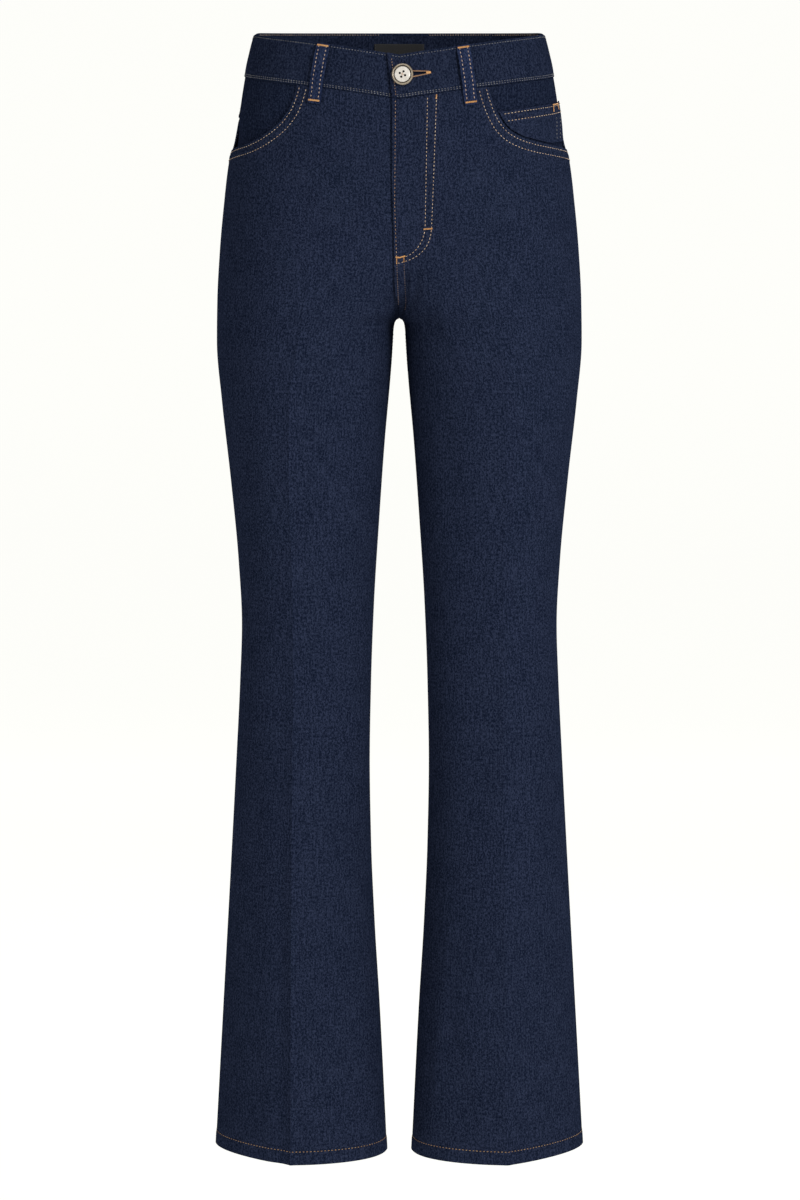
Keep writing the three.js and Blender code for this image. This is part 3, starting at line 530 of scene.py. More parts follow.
# Finishes
def shaderGroup(name, inputs, outputs):
    group = bpy.data.node_groups.new(name, "ShaderNodeTree")
    for label, kind, value in inputs:
        socket = group.interface.new_socket(name=label, in_out="INPUT", socket_type=kind)
        socket.default_value = value
    for label, kind in outputs:
        group.interface.new_socket(name=label, in_out="OUTPUT", socket_type=kind)
    return group


class Wiring:
    # Adds nodes to a tree and joins them: a value that is a socket is linked, any other is set
    def __init__(self, tree):
        self.tree = tree

    def node(self, kind, values=None, **settings):
        node = self.tree.nodes.new("ShaderNode" + kind)
        for name, value in settings.items():
            setattr(node, name, value)
        for key, value in (values or {}).items():
            if isinstance(value, bpy.types.NodeSocket):
                self.tree.links.new(value, node.inputs[key])
            else:
                node.inputs[key].default_value = value
        return node

    def math(self, operation, a, b=0.0):
        return self.node("Math", {0: a, 1: b}, operation=operation).outputs[0]

    def stretched(self, vector, x, y):
        scaled = self.node("VectorMath", {0: vector, 1: (x, y, 1)}, operation="MULTIPLY")
        return scaled.outputs[0]

    def noise(self, vector, scale, detail=2.0, rough=0.5):
        values = {"Vector": vector, "Scale": scale, "Detail": detail, "Roughness": rough}
        return self.node("TexNoise", values).outputs["Fac"]

    def ranged(self, value, low, high, to=(0.0, 1.0)):
        values = {0: value, 1: low, 2: high, 3: to[0], 4: to[1]}
        return self.node("MapRange", values, clamp=True).outputs[0]

    def blend(self, share, a, b):
        return self.node("Mix", {0: share, 6: a, 7: b}, data_type="RGBA").outputs[2]

    def weighed(self, *parts):
        # Adds up pairs of a value and its share
        total = 0.0
        for value, share in parts:
            total = self.math("ADD", total, self.math("MULTIPLY", value, share))
        return total


def makeWeave():
    # Twill: fine slanting lines, flecks and specks of the pale weft, and slubs along the warp
    group = shaderGroup(
        "denimTwill",
        (("Cloth", "NodeSocketVector", (0, 0, 0)), ("Warp", "NodeSocketColor", (0, 0, 0, 1)),
         ("Weft", "NodeSocketColor", (1, 1, 1, 1)), ("Pitch", "NodeSocketFloat", 0.00085),
         ("Fleck", "NodeSocketFloat", 0.5), ("Slub", "NodeSocketFloat", 0.5)),
        (("Color", "NodeSocketColor"), ("Height", "NodeSocketFloat"), ("Tone", "NodeSocketFloat")),
    )
    w = Wiring(group)
    given, out = group.nodes.new("NodeGroupInput"), group.nodes.new("NodeGroupOutput")
    cloth = given.outputs["Cloth"]
    wobble = w.noise(cloth, 260.0, 1.0)
    parts = w.node("SeparateXYZ", {0: cloth})
    slant = w.math("SUBTRACT", w.math("MULTIPLY", parts.outputs[0], 0.86),
                   w.math("MULTIPLY", parts.outputs[1], 0.51))
    turns = w.math("DIVIDE", slant, given.outputs["Pitch"])
    turns = w.math("ADD", turns, w.math("MULTIPLY", wobble, 0.9))
    line = w.ranged(w.math("SINE", w.math("MULTIPLY", turns, 2 * math.pi)), -1.0, 1.0)
    fleck = w.ranged(w.noise(w.stretched(cloth, 1.0, 0.6), 640.0, 3.0, 0.8), 0.42, 0.62)
    speck = w.ranged(w.noise(cloth, 760.0, 1.0), 0.64, 0.76)
    slub = w.ranged(w.noise(w.stretched(cloth, 1.0, 0.09), 560.0, 2.0, 0.6), 0.36, 0.74)
    weftLine = w.ranged(w.noise(w.stretched(cloth, 0.05, 1.0), 700.0, 2.0, 0.6), 0.36, 0.72)
    drift = w.ranged(w.noise(cloth, 26.0, 3.0, 0.55), 0.3, 0.7)
    pale = w.weighed((fleck, given.outputs["Fleck"]), (speck, 1.7), (slub, given.outputs["Slub"]),
                     (weftLine, 0.10), (line, 0.22), (drift, 0.10))
    pale = w.math("SUBTRACT", w.math("MULTIPLY", pale, 1.8), 0.68)
    pale = w.ranged(pale, 0.0, 1.9, (0.0, 1.9))
    color = w.blend(pale, given.outputs["Warp"], given.outputs["Weft"])
    height = w.weighed((line, 0.45), (fleck, 0.4), (slub, 0.3))
    for name, value in (("Color", color), ("Height", height), ("Tone", pale)):
        group.links.new(value, out.inputs[name])
    return group


def newMaterial(name):
    material = bpy.data.materials.new(name)
    material.use_nodes = True
    material.node_tree.nodes.clear()
    wiring = Wiring(material.node_tree)
    shader = wiring.node("BsdfPrincipled")
    output = wiring.node("OutputMaterial")
    material.node_tree.links.new(shader.outputs[0], output.inputs[0])
    return material, wiring, shader


# The denim's outer side and its reverse, a brighter one for the loops, a darker one for the waistband
# and a darker one again, with painted shade, for what lies deeper under other pieces
denimFinish = {
    "denim": {"Warp": (0.0052, 0.0086, 0.0205, 1), "Weft": (0.0260, 0.0345, 0.0680, 1),
              "Fleck": 0.62, "Slub": 0.34},
    "denimReverse": {"Warp": (0.050, 0.062, 0.092, 1), "Weft": (0.22, 0.235, 0.27, 1),
                     "Fleck": 0.6, "Slub": 0.3},
    "denimLoop": {"Warp": (0.0060, 0.0108, 0.0300, 1), "Weft": (0.0300, 0.0420, 0.0900, 1),
                  "Fleck": 0.6, "Slub": 0.34},
    "denimBand": {"Warp": (0.0048, 0.0079, 0.0188, 1), "Weft": (0.0235, 0.0312, 0.0615, 1),
                  "Fleck": 0.62, "Slub": 0.30},
    # Painted shade: a darker denim for the pieces that lie under others
    "denimPaintedShade": {"Warp": (0.0042, 0.0070, 0.0170, 1), "Weft": (0.0205, 0.0280, 0.0560, 1),
                  "Fleck": 0.55, "Slub": 0.30},
}


def makeDenim(name):
    material, w, shader = newMaterial(name)
    cloth = w.node("UVMap", uv_map="cloth").outputs[0]
    weave = w.node("Group", node_tree=twill)
    for key, value in denimFinish[name].items():
        weave.inputs[key].default_value = value
    w.tree.links.new(cloth, weave.inputs["Cloth"])
    soft = w.noise(cloth, 95.0, 3.0, 0.6)
    height = w.weighed((weave.outputs["Height"], 0.00022), (soft, 0.0010))
    bump = w.node("Bump", {"Height": height, "Distance": 1.0, "Strength": 0.75})
    rough = w.ranged(weave.outputs["Tone"], 0.0, 1.0, (0.92, 0.78))
    w.tree.links.new(weave.outputs["Color"], shader.inputs["Base Color"])
    w.tree.links.new(rough, shader.inputs["Roughness"])
    w.tree.links.new(bump.outputs[0], shader.inputs["Normal"])
    shader.inputs["Specular IOR Level"].default_value = 0.0
    return material


def makeSmooth(name, color, dark, rough, scale, bumpDeep=0.00005, **more):
    # A hard or thready finish whose colour varies a little over its surface
    material, w, shader = newMaterial(name)
    spot = w.node("TexCoord").outputs["Object"]
    shade = w.ranged(w.noise(spot, scale, 3.0, 0.6), 0.3, 0.7)
    w.tree.links.new(w.blend(shade, dark, color), shader.inputs["Base Color"])
    w.tree.links.new(w.ranged(shade, 0.0, 1.0, (rough * 1.15, rough * 0.85)), shader.inputs["Roughness"])
    height = w.math("MULTIPLY", w.noise(spot, scale * 2.4, 2.0), bumpDeep)
    bump = w.node("Bump", {"Height": height, "Distance": 1.0, "Strength": 0.6})
    w.tree.links.new(bump.outputs[0], shader.inputs["Normal"])
    for key, value in more.items():
        shader.inputs[key].default_value = value
    return material


twill = makeWeave()
denim, denimReverse, denimLoop, denimBand, denimPaintedShade = (makeDenim(name) for name in denimFinish)
print("finishes made")

print("fronts and backs")
sides = (("Left", 1), ("Right", -1))
for word, side in sides:
    node = "_" + word.lower()
    u, d = frontSpots(side)
    extra = sewing["hemExtra"] * (d > cut["outseam"] - sewing["hem"])
    piece = panel("front" + word, side, "front", u, d, frontRise(side, u, d), ["front_panel" + node],
                  sewing["cloth"] + extra)
    u, d = backSpots()
    extra = sewing["hemExtra"] * (d > cut["outseam"] - sewing["hem"])
    piece = panel("back" + word, side, "back", u, d, backRise(side, u, d), ["back_panel" + node],
                  sewing["cloth"] + extra)
    shares = np.linspace(0, 1, 17)[:, None]
    gap = sewing["seam"] / 2
    u = mix(gap / yoke["width"], 1 - gap / yoke["width"], columnShares)
    d = mix(bandEdge, topOfBack(u) - gap, shares)
    u = np.broadcast_to(u, d.shape)
    piece = panel("yoke" + word, side, "back", u, d, backRise(side, u, d), ["yoke" + node])


# Pocket facings, coin pocket and back pockets
facing = {"bottom": 140, "under": 24, "step": 1.8, "deeper": {1: 0.9, -1: 2.3}, "sideFall": 0.3}
coin = {"innerTop": 66.4, "outerTop": 63.4, "bottom": 101.5, "lift": 0.75, "thick": 1.1, "fromEdge": 2.6,
        "fromSeam": 3.5}
backPocket = {"top": 103, "sideHeight": 118, "tip": 142, "topWidth": 146, "footWidth": 124, "middle": 0.5,
              "low": 0.5, "high": 1.8, "hem": 22, "half": 68, "tall": 130, "rows": (2.0, 8.4)}


def mouthAt(side, d):
    u, level = mouth[side]
    return np.interp(np.minimum(d, 118), level, u)


def facingRise(side, u, d):
    inOpening = np.where(u > mouthAt(side, d), fromMouth(side, u, d), 0)
    deeper = facing["deeper"][side] * (1 - ease(14, 44, inOpening))  # it sinks beside the mouth's edge
    deeper = deeper * ease(56, 90, d) * (1 - ease(119, 130, d))
    return (facing["step"] - 0.2) * ease(4, 26, inOpening) - facing["step"] - deeper


def facingSpots(side):
    d = np.linspace(bandEdge, facing["bottom"], 50)[:, None]
    long = longAt("front", d)
    start = mouthAt(side, np.minimum(d, 108)) - facing["under"] / long
    u = mix(start, 1 - sewing["seam"] / 2 / long, np.linspace(0, 1, 60)[None, :])
    return u, np.broadcast_to(d, u.shape)


for word, side in sides:
    u, d = facingSpots(side)
    high = facingRise(side, u, d) - facing["sideFall"] * (1 - ease(0, 4, (1 - u) * longAt("front", d)))
    piece = panel("pocketFacing" + word, side, "front", u, d, high, ["pocket_facing_" + word.lower()])
    # The facing's outer side takes the darker denim as painted shade under the pocket's mouth
    piece.data.materials[0] = denimPaintedShade


def coinEdge(d):
    # The coin pocket's inner edge keeps its distance from the mouth
    edge = mouthAt(1, d)
    far = np.minimum(edge + 0.2, 1 - coin["fromSeam"] / longAt("front", d))
    return halve(lambda u: fromMouth(1, u, d) - coin["fromEdge"], edge, far)


def coinSpots():
    a, b = np.linspace(0, 1, 44)[None, :], np.linspace(0, 1, 26)[:, None]
    d = mix(mix(coin["innerTop"], coin["outerTop"], a), coin["bottom"], b)
    return mix(coinEdge(d), 1 - coin["fromSeam"] / longAt("front", d), a), d, a, b


def coinRise(u, d, a, b):
    puff = 0.25 * np.minimum(ease(0, 0.1, a) * ease(0, 0.12, 1 - a), ease(0, 0.1, b))
    return facingRise(1, u, d) + coin["lift"] + coin["thick"] + puff


u, d, a, b = coinSpots()
high = onCloth(1, "front", u, d, coinRise(u, d, a, b))[0]
low = onCloth(1, "front", u, d, facingRise(1, u, d) + coin["lift"])[0]
piece = clothFrom("coinPocket", high, low, clothMap(1, "front", u, d), edge=0.35)
dress(piece, "denim", "coin_pocket", materials=(denim, denimReverse))


def pocketEdge(a, b):
    # A spot on the pocket's inner (a = -1) or outer edge
    p = backPocket
    d = p["top"] + 3 * a * (1 - b) + p["sideHeight"] * b
    width = mix(p["topWidth"], p["footWidth"], b)
    return mix(p["middle"], p["middle"] - 0.02, b) + a * width / 2 / longAt("back", 170), d


def backPocketSpots(a, b):
    # The inner edge is straight as seen from behind
    p = backPocket
    d = p["top"] + 3 * a * (1 - b) + mix(p["tip"], p["sideHeight"], np.abs(a)) * b
    ends = [onCloth(1, "back", *pocketEdge(-1, float(end)))[0][..., 0] for end in (0, 1)]
    level = b + 0 * a
    inner = halve(lambda u: onCloth(1, "back", u, pocketEdge(-1, level)[1])[0][..., 0] - mix(*ends, level),
                  np.zeros(level.shape), np.ones(level.shape))
    return mix(inner, pocketEdge(1, level)[0], (a + 1) / 2), d


def backPocketRise(side, u, d, a, b):
    toEdge = np.minimum((1 - np.abs(a)) * backPocket["half"], (1 - b) * backPocket["tall"])
    groove = sum(0.22 * bell(toEdge, row, 1.1) for row in backPocket["rows"])
    hem = 0.3 * (1 - ease(backPocket["hem"] - 2, backPocket["hem"], b * 125))
    lift = 0.5 * np.cos(np.abs(a) * math.pi / 2) * (1 - ease(0, 0.25, b))
    return foldsAt(side, "back", u, d) + backPocket["high"] + hem + lift - groove


for word, side in sides:
    a, b = np.linspace(-1, 1, 62)[None, :], np.linspace(0, 1, 58)[:, None]
    u, d = backPocketSpots(a, b)
    high = backPocketRise(side, u, d, a, b)
    low = foldsAt(side, "back", u, d) + backPocket["low"]
    points = [onCloth(side, "back", u, d, rise)[0] for rise in (high, low)]
    piece = clothFrom("backPocket" + word, *points, clothMap(side, "back", u, d), edge=0.45)
    dress(piece, "denim", "back_pocket_" + word.lower(), materials=(denim, denimReverse))

# The waistband goes once round, and its ends overlap at the front
print("waistband")
band = {"row": 2.4, "backRow": 1.5, "lowRows": (37.8, 39.5), "slant": 5, "columns": 118, "rows": 22}


def bandQuarters():
    # Side, face, start, end and columns, from the top end to the under end: a start or end below
    # 0 is in mm past the middle, and any other is a share u
    count = band["columns"]
    return ((1, "front", -fly["overlap"], 1, count), (1, "back", 1, 0, count), (-1, "back", 0, 1, count),
            (-1, "front", 1, -sewing["underEnd"], count + 14))


def bandStart(d):
    return -fly["overlap"] - band["slant"] * (1 - d / cut["bandDepth"])


def bandShift(side, face, u, d):
    if face == "back":
        return np.zeros(np.broadcast(u, d).shape)
    x = u * longAt("front", d)
    if side > 0:
        return fly["bandLift"] * (1 - ease(sewing["underEnd"], sewing["underEnd"] + 8, x))
    return -fly["bandDip"] * (1 - ease(fly["overlap"] * 1.2, fly["overlap"] * 2.8, x))


def bandRise(side, face, u, d):
    rows = (band["row"],) + band["lowRows"]
    groove = sum(0.22 * bell(d, row, 1.2) for row in rows)
    puff = 0.25 * ease(0, 12, d) * (1 - ease(26, 38, d))
    return bandShift(side, face, u, d) + sewing["bandOut"] + puff - groove


def bandPoints():
    d = np.linspace(0, cut["bandDepth"] - sewing["gap"] / 2, band["rows"])[:, None]
    high, low = [], []
    for side, face, start, end, count in bandQuarters():
        long = longAt(face, d)
        first = bandStart(d) / long if start < 0 else start + 0 * long
        last = end / long if end < 0 else end + 0 * long
        u = mix(first, last, np.linspace(0, 1, count + 1)[None, 1 if high else 0:])
        high.append(onCloth(side, face, u, d, bandRise(side, face, u, d))[0])
        low.append(onCloth(side, face, u, d, bandShift(side, face, u, d) - sewing["bandIn"])[0])
    high, low = np.concatenate(high, 1), np.concatenate(low, 1)
    along = longOf(high[band["rows"] // 2])
    uv = np.stack(np.broadcast_arrays(along[None, :], -d), -1)
    return high, low, uv


# The buttonhole, a slot that the button holds open: x from the middle, d and half its width
hole = {"from": 3.1, "to": 28.4, "d": 19.4, "fall": 0.06, "open": 2.7}


def holeEdge(x, way, off, rise=0.0):
    # A line beside the slot, on its upper (way -1) or lower side
    share = (x - hole["from"]) / (hole["to"] - hole["from"])
    away = hole["open"] * np.clip(1 - share, 0, 1) ** 0.8 + off
    d = hole["d"] + hole["fall"] * (x - hole["from"]) + way * away
    u = x / longAt("front", d)
    return onCloth(1, "front", u, d, bandRise(1, "front", u, d) + rise)


def cutHole(piece):
    x = np.linspace(hole["from"], hole["to"] - 1, 12)
    layers = [np.stack([holeEdge(x, way, 0.05, rise)[0] for way in (-1, 0, 1)]) for rise in (3.0, -3.2)]
    slot = clothFrom("slot", *layers, np.zeros((3, 12, 2)), edge=0)
    applyModifier(piece, "BOOLEAN", operation="DIFFERENCE", solver="EXACT", object=slot)
    bpy.data.objects.remove(slot)


piece = clothFrom("waistBand", *bandPoints(), edge=0.8)
cutHole(piece)
onlyActive(piece)
bpy.ops.object.shade_smooth_by_angle(angle=math.radians(40))
dress(piece, "denim", "waistband", materials=(denimBand, denimBand))


# Belt loops: one strip, copied and laid on the band
loops = {"width": 13, "thick": 2.0, "bow": 1.8, "from": 0.6, "to": 57}
loopPlaces = ((1, "front", 61, 69.5), (-1, "front", 73, 83), (1, "back", 96, 99), (-1, "back", 96, 99),
              (1, "back", 0, 0))


def loopRise(d):
    b = (d - loops["from"]) / (loops["to"] - loops["from"])
    onBand = sewing["bandOut"] * (1 - ease(cut["bandDepth"] + 1, cut["bandDepth"] + 4, d))
    return onBand + sewing["gap"] + loops["bow"] * ease(0, 0.27, b) * (1 - ease(0.54, 0.8, b))


def loopSpots(face, top, bottom, over, d):
    # over is the distance from the loop's middle
    b = (d - loops["from"]) / (loops["to"] - loops["from"])
    return (mix(top, bottom, b) + over) / longAt(face, d)


for i, (side, face, top, bottom) in enumerate(loopPlaces):
    d = np.linspace(loops["from"], loops["to"], 46)[:, None]
    over = np.linspace(-0.5, 0.5, 15)[None, :] * loops["width"]
    u = loopSpots(face, top, bottom, over, d)
    groove = 0.25 * bell(np.abs(over), 3.6, 0.9)
    low = loopRise(d) + 0 * u
    points = [onCloth(side, face, u, d, rise)[0] for rise in (low + loops["thick"] - groove, low)]
    uv = np.stack(np.broadcast_arrays(over + 40 * i, -d), -1)
    piece = clothFrom("beltLoop%d" % (i + 1), *points, uv, edge=0.5)
    dress(piece, "denim", "belt_loop_%d" % (i + 1), materials=(denimLoop, denimLoop))

# Fly shield, closed zip and label
print("fly, label and button")
flyShield = {"from": -26, "to": 34, "top": 46, "bottom": 210, "low": -4.3, "high": -2.9}
zipStrip = {"from": 3, "to": 30, "top": 47, "bottom": 205, "low": -2.5, "high": -1.9}


def strip(name, given, slot, node, materials, columns=20, rows=60):
    d = np.linspace(given["top"], given["bottom"], rows)[:, None]
    u = np.linspace(given["from"], given["to"], columns)[None, :] / longAt("front", d)
    points = [onCloth(1, "front", u, d, given[key])[0] for key in ("high", "low")]
    piece = clothFrom(name, *points, clothMap(1, "front", u, d + 0 * u), edge=0.2)
    dress(piece, slot, node, materials=materials)
    return piece


# The fly shield's outer side takes the darker denim as painted shade, as it lies under the fly
piece = strip("flyShield", flyShield, "denim", "fly_shield", (denimPaintedShade, denimReverse))
zipTape = makeSmooth("zipTape", (0.020, 0.026, 0.042, 1), (0.011, 0.014, 0.024, 1), 0.85, 900.0)
piece = strip("zipStrip", zipStrip, "zip", "zip", (zipTape, zipTape))
labelCloth = makeSmooth("labelCloth", (0.0062, 0.0060, 0.0066, 1), (0.0030, 0.0030, 0.0034, 1),
                        0.7, 1200.0)
label = {"width": 51, "top": 10, "bottom": 22, "thick": 0.6}
d = np.linspace(label["top"], label["bottom"], 9)[:, None]
u = np.linspace(-0.5, 0.5, 35)[None, :] * label["width"] / longAt("back", d)
high = -sewing["bandIn"] - sewing["gap"]
points = [onCloth(1, "back", u, d, rise)[0] for rise in (high, high - label["thick"])]
piece = clothFrom("wovenLabel", *points, clothMap(1, "back", u, d + 0 * u), edge=0.15)
dress(piece, "label", "label", materials=(labelCloth, labelCloth))

# Button: four holes and a sunk ring, on a shank of thread
button = {"radius": 10.3, "x": 3.1, "d": 19.4, "face": 7.7, "holeOut": 2.8, "holeRadius": 1.05, "turn": 23}
backOf = fly["bandLift"] + sewing["bandOut"] + 0.8
edgeOf = button["radius"]
ringFrom = button["face"]
# Radius and height of its turned shape: the shank, the back, the rim, the groove and the face
profile = ((1.5, -0.2), (1.5, backOf), (edgeOf - 1.8, backOf), (edgeOf - 0.5, backOf + 0.7),
           (edgeOf, backOf + 1.4), (edgeOf, backOf + 2.2), (edgeOf - 0.35, backOf + 3.0),
           (edgeOf - 1.0, backOf + 3.4), (edgeOf - 1.7, backOf + 3.25), (edgeOf - 2.1, backOf + 2.5),
           (ringFrom + 0.3, backOf + 2.0), (ringFrom - 0.2, backOf + 2.4),
           (ringFrom - 1.0, backOf + 2.75), (3.4, backOf + 2.55), (0.6, backOf + 2.45))
pearl = makeSmooth("buttonPearl", (0.74, 0.70, 0.64, 1), (0.60, 0.56, 0.50, 1), 0.22, 240.0)
rim = makeSmooth("buttonRim", (0.44, 0.37, 0.28, 1), (0.27, 0.22, 0.16, 1), 0.32, 300.0, Metallic=0.35)
# The dark finish of the sunk ring; the holes' walls take it too, as painted shade
ring = makeSmooth("buttonRingAndHoleShade", (0.060, 0.046, 0.028, 1), (0.030, 0.024, 0.018, 1), 0.35, 300.0)


def makeButton():
    bpy.ops.object.select_all(action="DESELECT")
    bpy.ops.mesh.primitive_circle_add(vertices=64, radius=profile[0][0] * mm, fill_type="NGON",
                                      location=(0, 0, profile[0][1] * mm))
    bpy.ops.object.mode_set(mode="EDIT")
    for (r, h), (nextR, nextH) in zip(profile, profile[1:]):
        bpy.ops.mesh.extrude_region_move(TRANSFORM_OT_translate={"value": (0, 0, (nextH - h) * mm)})
        bpy.ops.transform.resize(value=(nextR / r, nextR / r, 1), center_override=(0, 0, nextH * mm))
    bpy.ops.mesh.select_all(action="SELECT")
    bpy.ops.mesh.normals_make_consistent(inside=False)
    bpy.ops.object.mode_set(mode="OBJECT")
    piece = bpy.context.object
    piece.name = piece.data.name = "bandButton"
    for material in (pearl, rim, ring):
        piece.data.materials.append(material)
    for face in piece.data.polygons:
        r = math.hypot(face.center.x, face.center.y) / mm
        groove = ringFrom - 0.3 < r < edgeOf - 1.8 and face.center.z > (backOf + 1.5) * mm
        face.material_index = 2 if groove else 1 if r > ringFrom - 0.3 else 0
    for i in range(4):
        turn = math.radians(button["turn"] + 90 * i)
        out = button["holeOut"] * mm
        spot = (out * math.sin(turn), out * math.cos(turn), backOf * mm)
        bpy.ops.object.select_all(action="DESELECT")
        bpy.ops.mesh.primitive_cylinder_add(vertices=16, radius=button["holeRadius"] * mm,
                                            depth=8 * mm, location=spot)
        cutter = bpy.context.object
        applyModifier(piece, "BOOLEAN", operation="DIFFERENCE", solver="EXACT", object=cutter)
        bpy.data.objects.remove(cutter)
        # The walls of each hole take the dark ring finish: painted shade inside the holes
        for face in piece.data.polygons:
            flat = math.hypot(face.center.x - spot[0], face.center.y - spot[1])
            if flat < button["holeRadius"] * 1.02 * mm:
                face.material_index = 2
    return piece


buttonU = button["x"] / longAt("front", button["d"])
foot, axis = onCloth(1, "front", buttonU, button["d"])
frontOfButton = Vector(axis).to_track_quat("Z", "Y")
piece = makeButton()
onlyActive(piece)
piece.rotation_euler = frontOfButton.to_euler()
piece.location = Vector(foot) * mm
bpy.ops.object.transform_apply(location=True, rotation=True, scale=True)
bpy.ops.object.shade_smooth_by_angle(angle=math.radians(35))
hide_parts("button")
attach(piece, "root")


def sewButton():
    # Two crossed threads between the holes
    up = np.array(axis)
    for i in range(2):
        turn = math.radians(button["turn"] + 90 * i)
        ahead = np.array(frontOfButton @ Vector((math.sin(turn), math.cos(turn), 0)))
        middle = foot + up * (backOf + 2.7 + 0.2 * i)
        addStitches("buttonThread", middle[None], ahead[None], up[None], 4.2, 0.8)


# Sewing: one stitch is modelled, and every run lays copies of it along a row
print("sewing")
stitch = {"pitch": 3.6, "fill": 0.58, "wide": 0.6, "high": 0.5, "bend": 0.3, "lift": 0.2}
runs = {}
chance = np.random.default_rng(11)


def makeStitch():
    bpy.ops.object.select_all(action="DESELECT")
    bpy.ops.mesh.primitive_uv_sphere_add(segments=6, ring_count=5, radius=0.5, rotation=(0, math.pi / 2, 0))
    blank = bpy.context.object
    bpy.ops.object.transform_apply(location=False, rotation=True, scale=False)
    bpy.ops.object.mode_set(mode="EDIT")
    mesh = bmesh.from_edit_mesh(blank.data)
    for vertex in mesh.verts:
        fuller = 1.22 if 0.1 < abs(vertex.co.x) < 0.45 else 1
        vertex.co.y *= fuller
        vertex.co.z *= fuller
    bmesh.update_edit_mesh(blank.data)
    bpy.ops.mesh.quads_convert_to_tris(quad_method="BEAUTY")
    bpy.ops.object.mode_set(mode="OBJECT")
    points = np.array([vertex.co for vertex in blank.data.vertices])
    faces = np.array([face.vertices for face in blank.data.polygons])
    bpy.data.objects.remove(blank)
    return points, faces


stitchPoints, stitchFaces = makeStitch()


def addStitches(piece, middle, ahead, up, long, wide=1.0):
    # One copy at each middle, lying along ahead
    count = len(middle)
    ahead = ahead / np.linalg.norm(ahead, axis=1, keepdims=True)
    over = np.cross(up, ahead)
    over /= np.linalg.norm(over, axis=1, keepdims=True)
    up = np.cross(ahead, over)
    turn = chance.normal(0, 0.05, (count, 1))
    ahead, over = ahead + over * turn, over - ahead * turn
    long = long * chance.uniform(0.93, 1.05, (count, 1, 1))
    wide = wide * chance.uniform(0.9, 1.08, (count, 1, 1))
    x, y, z = (stitchPoints[None, :, k, None] for k in range(3))
    height = z * stitch["high"] * wide + stitch["lift"] - stitch["bend"] * (2 * x) ** 2
    points = middle[:, None] + ahead[:, None] * x * long + over[:, None] * y * stitch["wide"] * wide
    runs.setdefault(piece, []).append(points + up[:, None] * height)


def sewRow(piece, side, face, u, d, rise, pitch=stitch["pitch"], inside=False, wide=1.0):
    u, d, rise = np.broadcast_arrays(np.asarray(u, float), np.asarray(d, float), rise)
    points, normals = onCloth(side, face, u, d, rise)
    long = longOf(points)
    count = max(int(long[-1] / pitch), 1)
    step = long[-1] / count
    goal = (np.arange(count) + 0.5) * step

    def along(values, at):
        return np.stack([np.interp(at, long, values[:, k]) for k in range(3)], -1)

    up = along(normals, goal) * (-1 if inside else 1)
    ahead = along(points, goal + 0.2 * step) - along(points, goal - 0.2 * step)
    addStitches(piece, along(points, goal), ahead, up, step * stitch["fill"], wide)


def sewTack(side, face, ends, rise, wide):
    # A bartack between two spots (u, d): close stitches across it
    (u0, d0), (u1, d1) = ends
    length = np.linalg.norm(np.diff(onCloth(side, face, [u0, u1], [d0, d1])[0], axis=0))
    share = np.linspace(0, 1, max(int(length / 0.62), 3))
    u, d = mix(u0, u1, share), mix(d0, d1, share)
    points, normals = onCloth(side, face, u, d, rise(u, d) if callable(rise) else rise)
    over = np.cross(normals, np.gradient(points, axis=0))
    over[::2] *= -1
    over += 0.15 * np.gradient(points, axis=0)
    addStitches("bartacks", points + normals * 0.1, over, normals, wide, 1.15)


def uAtX(face, x, d):
    # The place in a section that lies x from the middle
    x, d = np.broadcast_arrays(np.asarray(x, float), np.asarray(d, float))
    u = halve(lambda v: onCloth(1, face, v, d)[0][..., 0] - np.abs(x), np.zeros(x.shape), np.ones(x.shape))
    return u * np.sign(x)


def curveOf(*handles, count=40):
    t = np.linspace(0, 1, count)
    x, d = bezier([np.array(h, float) for h in handles], t)
    return x, d


def sewFrontRow(piece, x, d, pitch=stitch["pitch"]):
    # A row on the left front, given in mm from the middle
    u = uAtX("front", x, d)
    sewRow(piece, 1, "front", u, d, frontRise(1, u, d), pitch)


# Each fly row is straight from its top to its turn, then curves to its end, all in mm from the
# middle and below the waist. A tack has two ends and its stitches' width.
flySewing = {
    "rows": (((35.7, 43), (31.1, 172), (30.9, 199), (18, 208), (-2.4, 208.3)),
             ((27.0, 43), (24.8, 172), (24.4, 190), (15, 202), (5.2, 202.6))),
    "edge": {"d": (42, 150, 203), "x": (-3.7, -4.4, -2.7)},
    "crotch": ((-2.6, -1.2, 255), (4.6, 4.9, 266)),
    "tacks": ((((35.7, 42.5), (35.4, 46)), 1.7), (((23.6, 176.2), (31.5, 176.8)), 1.7),
              (((-3.4, 202.6), (5.4, 202.0)), 1.7), (((-2.7, 204), (-2.6, 209)), 1.1),
              (((4.4, 203), (4.5, 208)), 1.0)),
}
# Distances of the other rows from their seams or edges
twinRows = {"mouth": (2.7, 9.8), "yoke": (2.2, 8.4), "seat": (2.3, 8.6), "coin": (2.6, 9.6)}


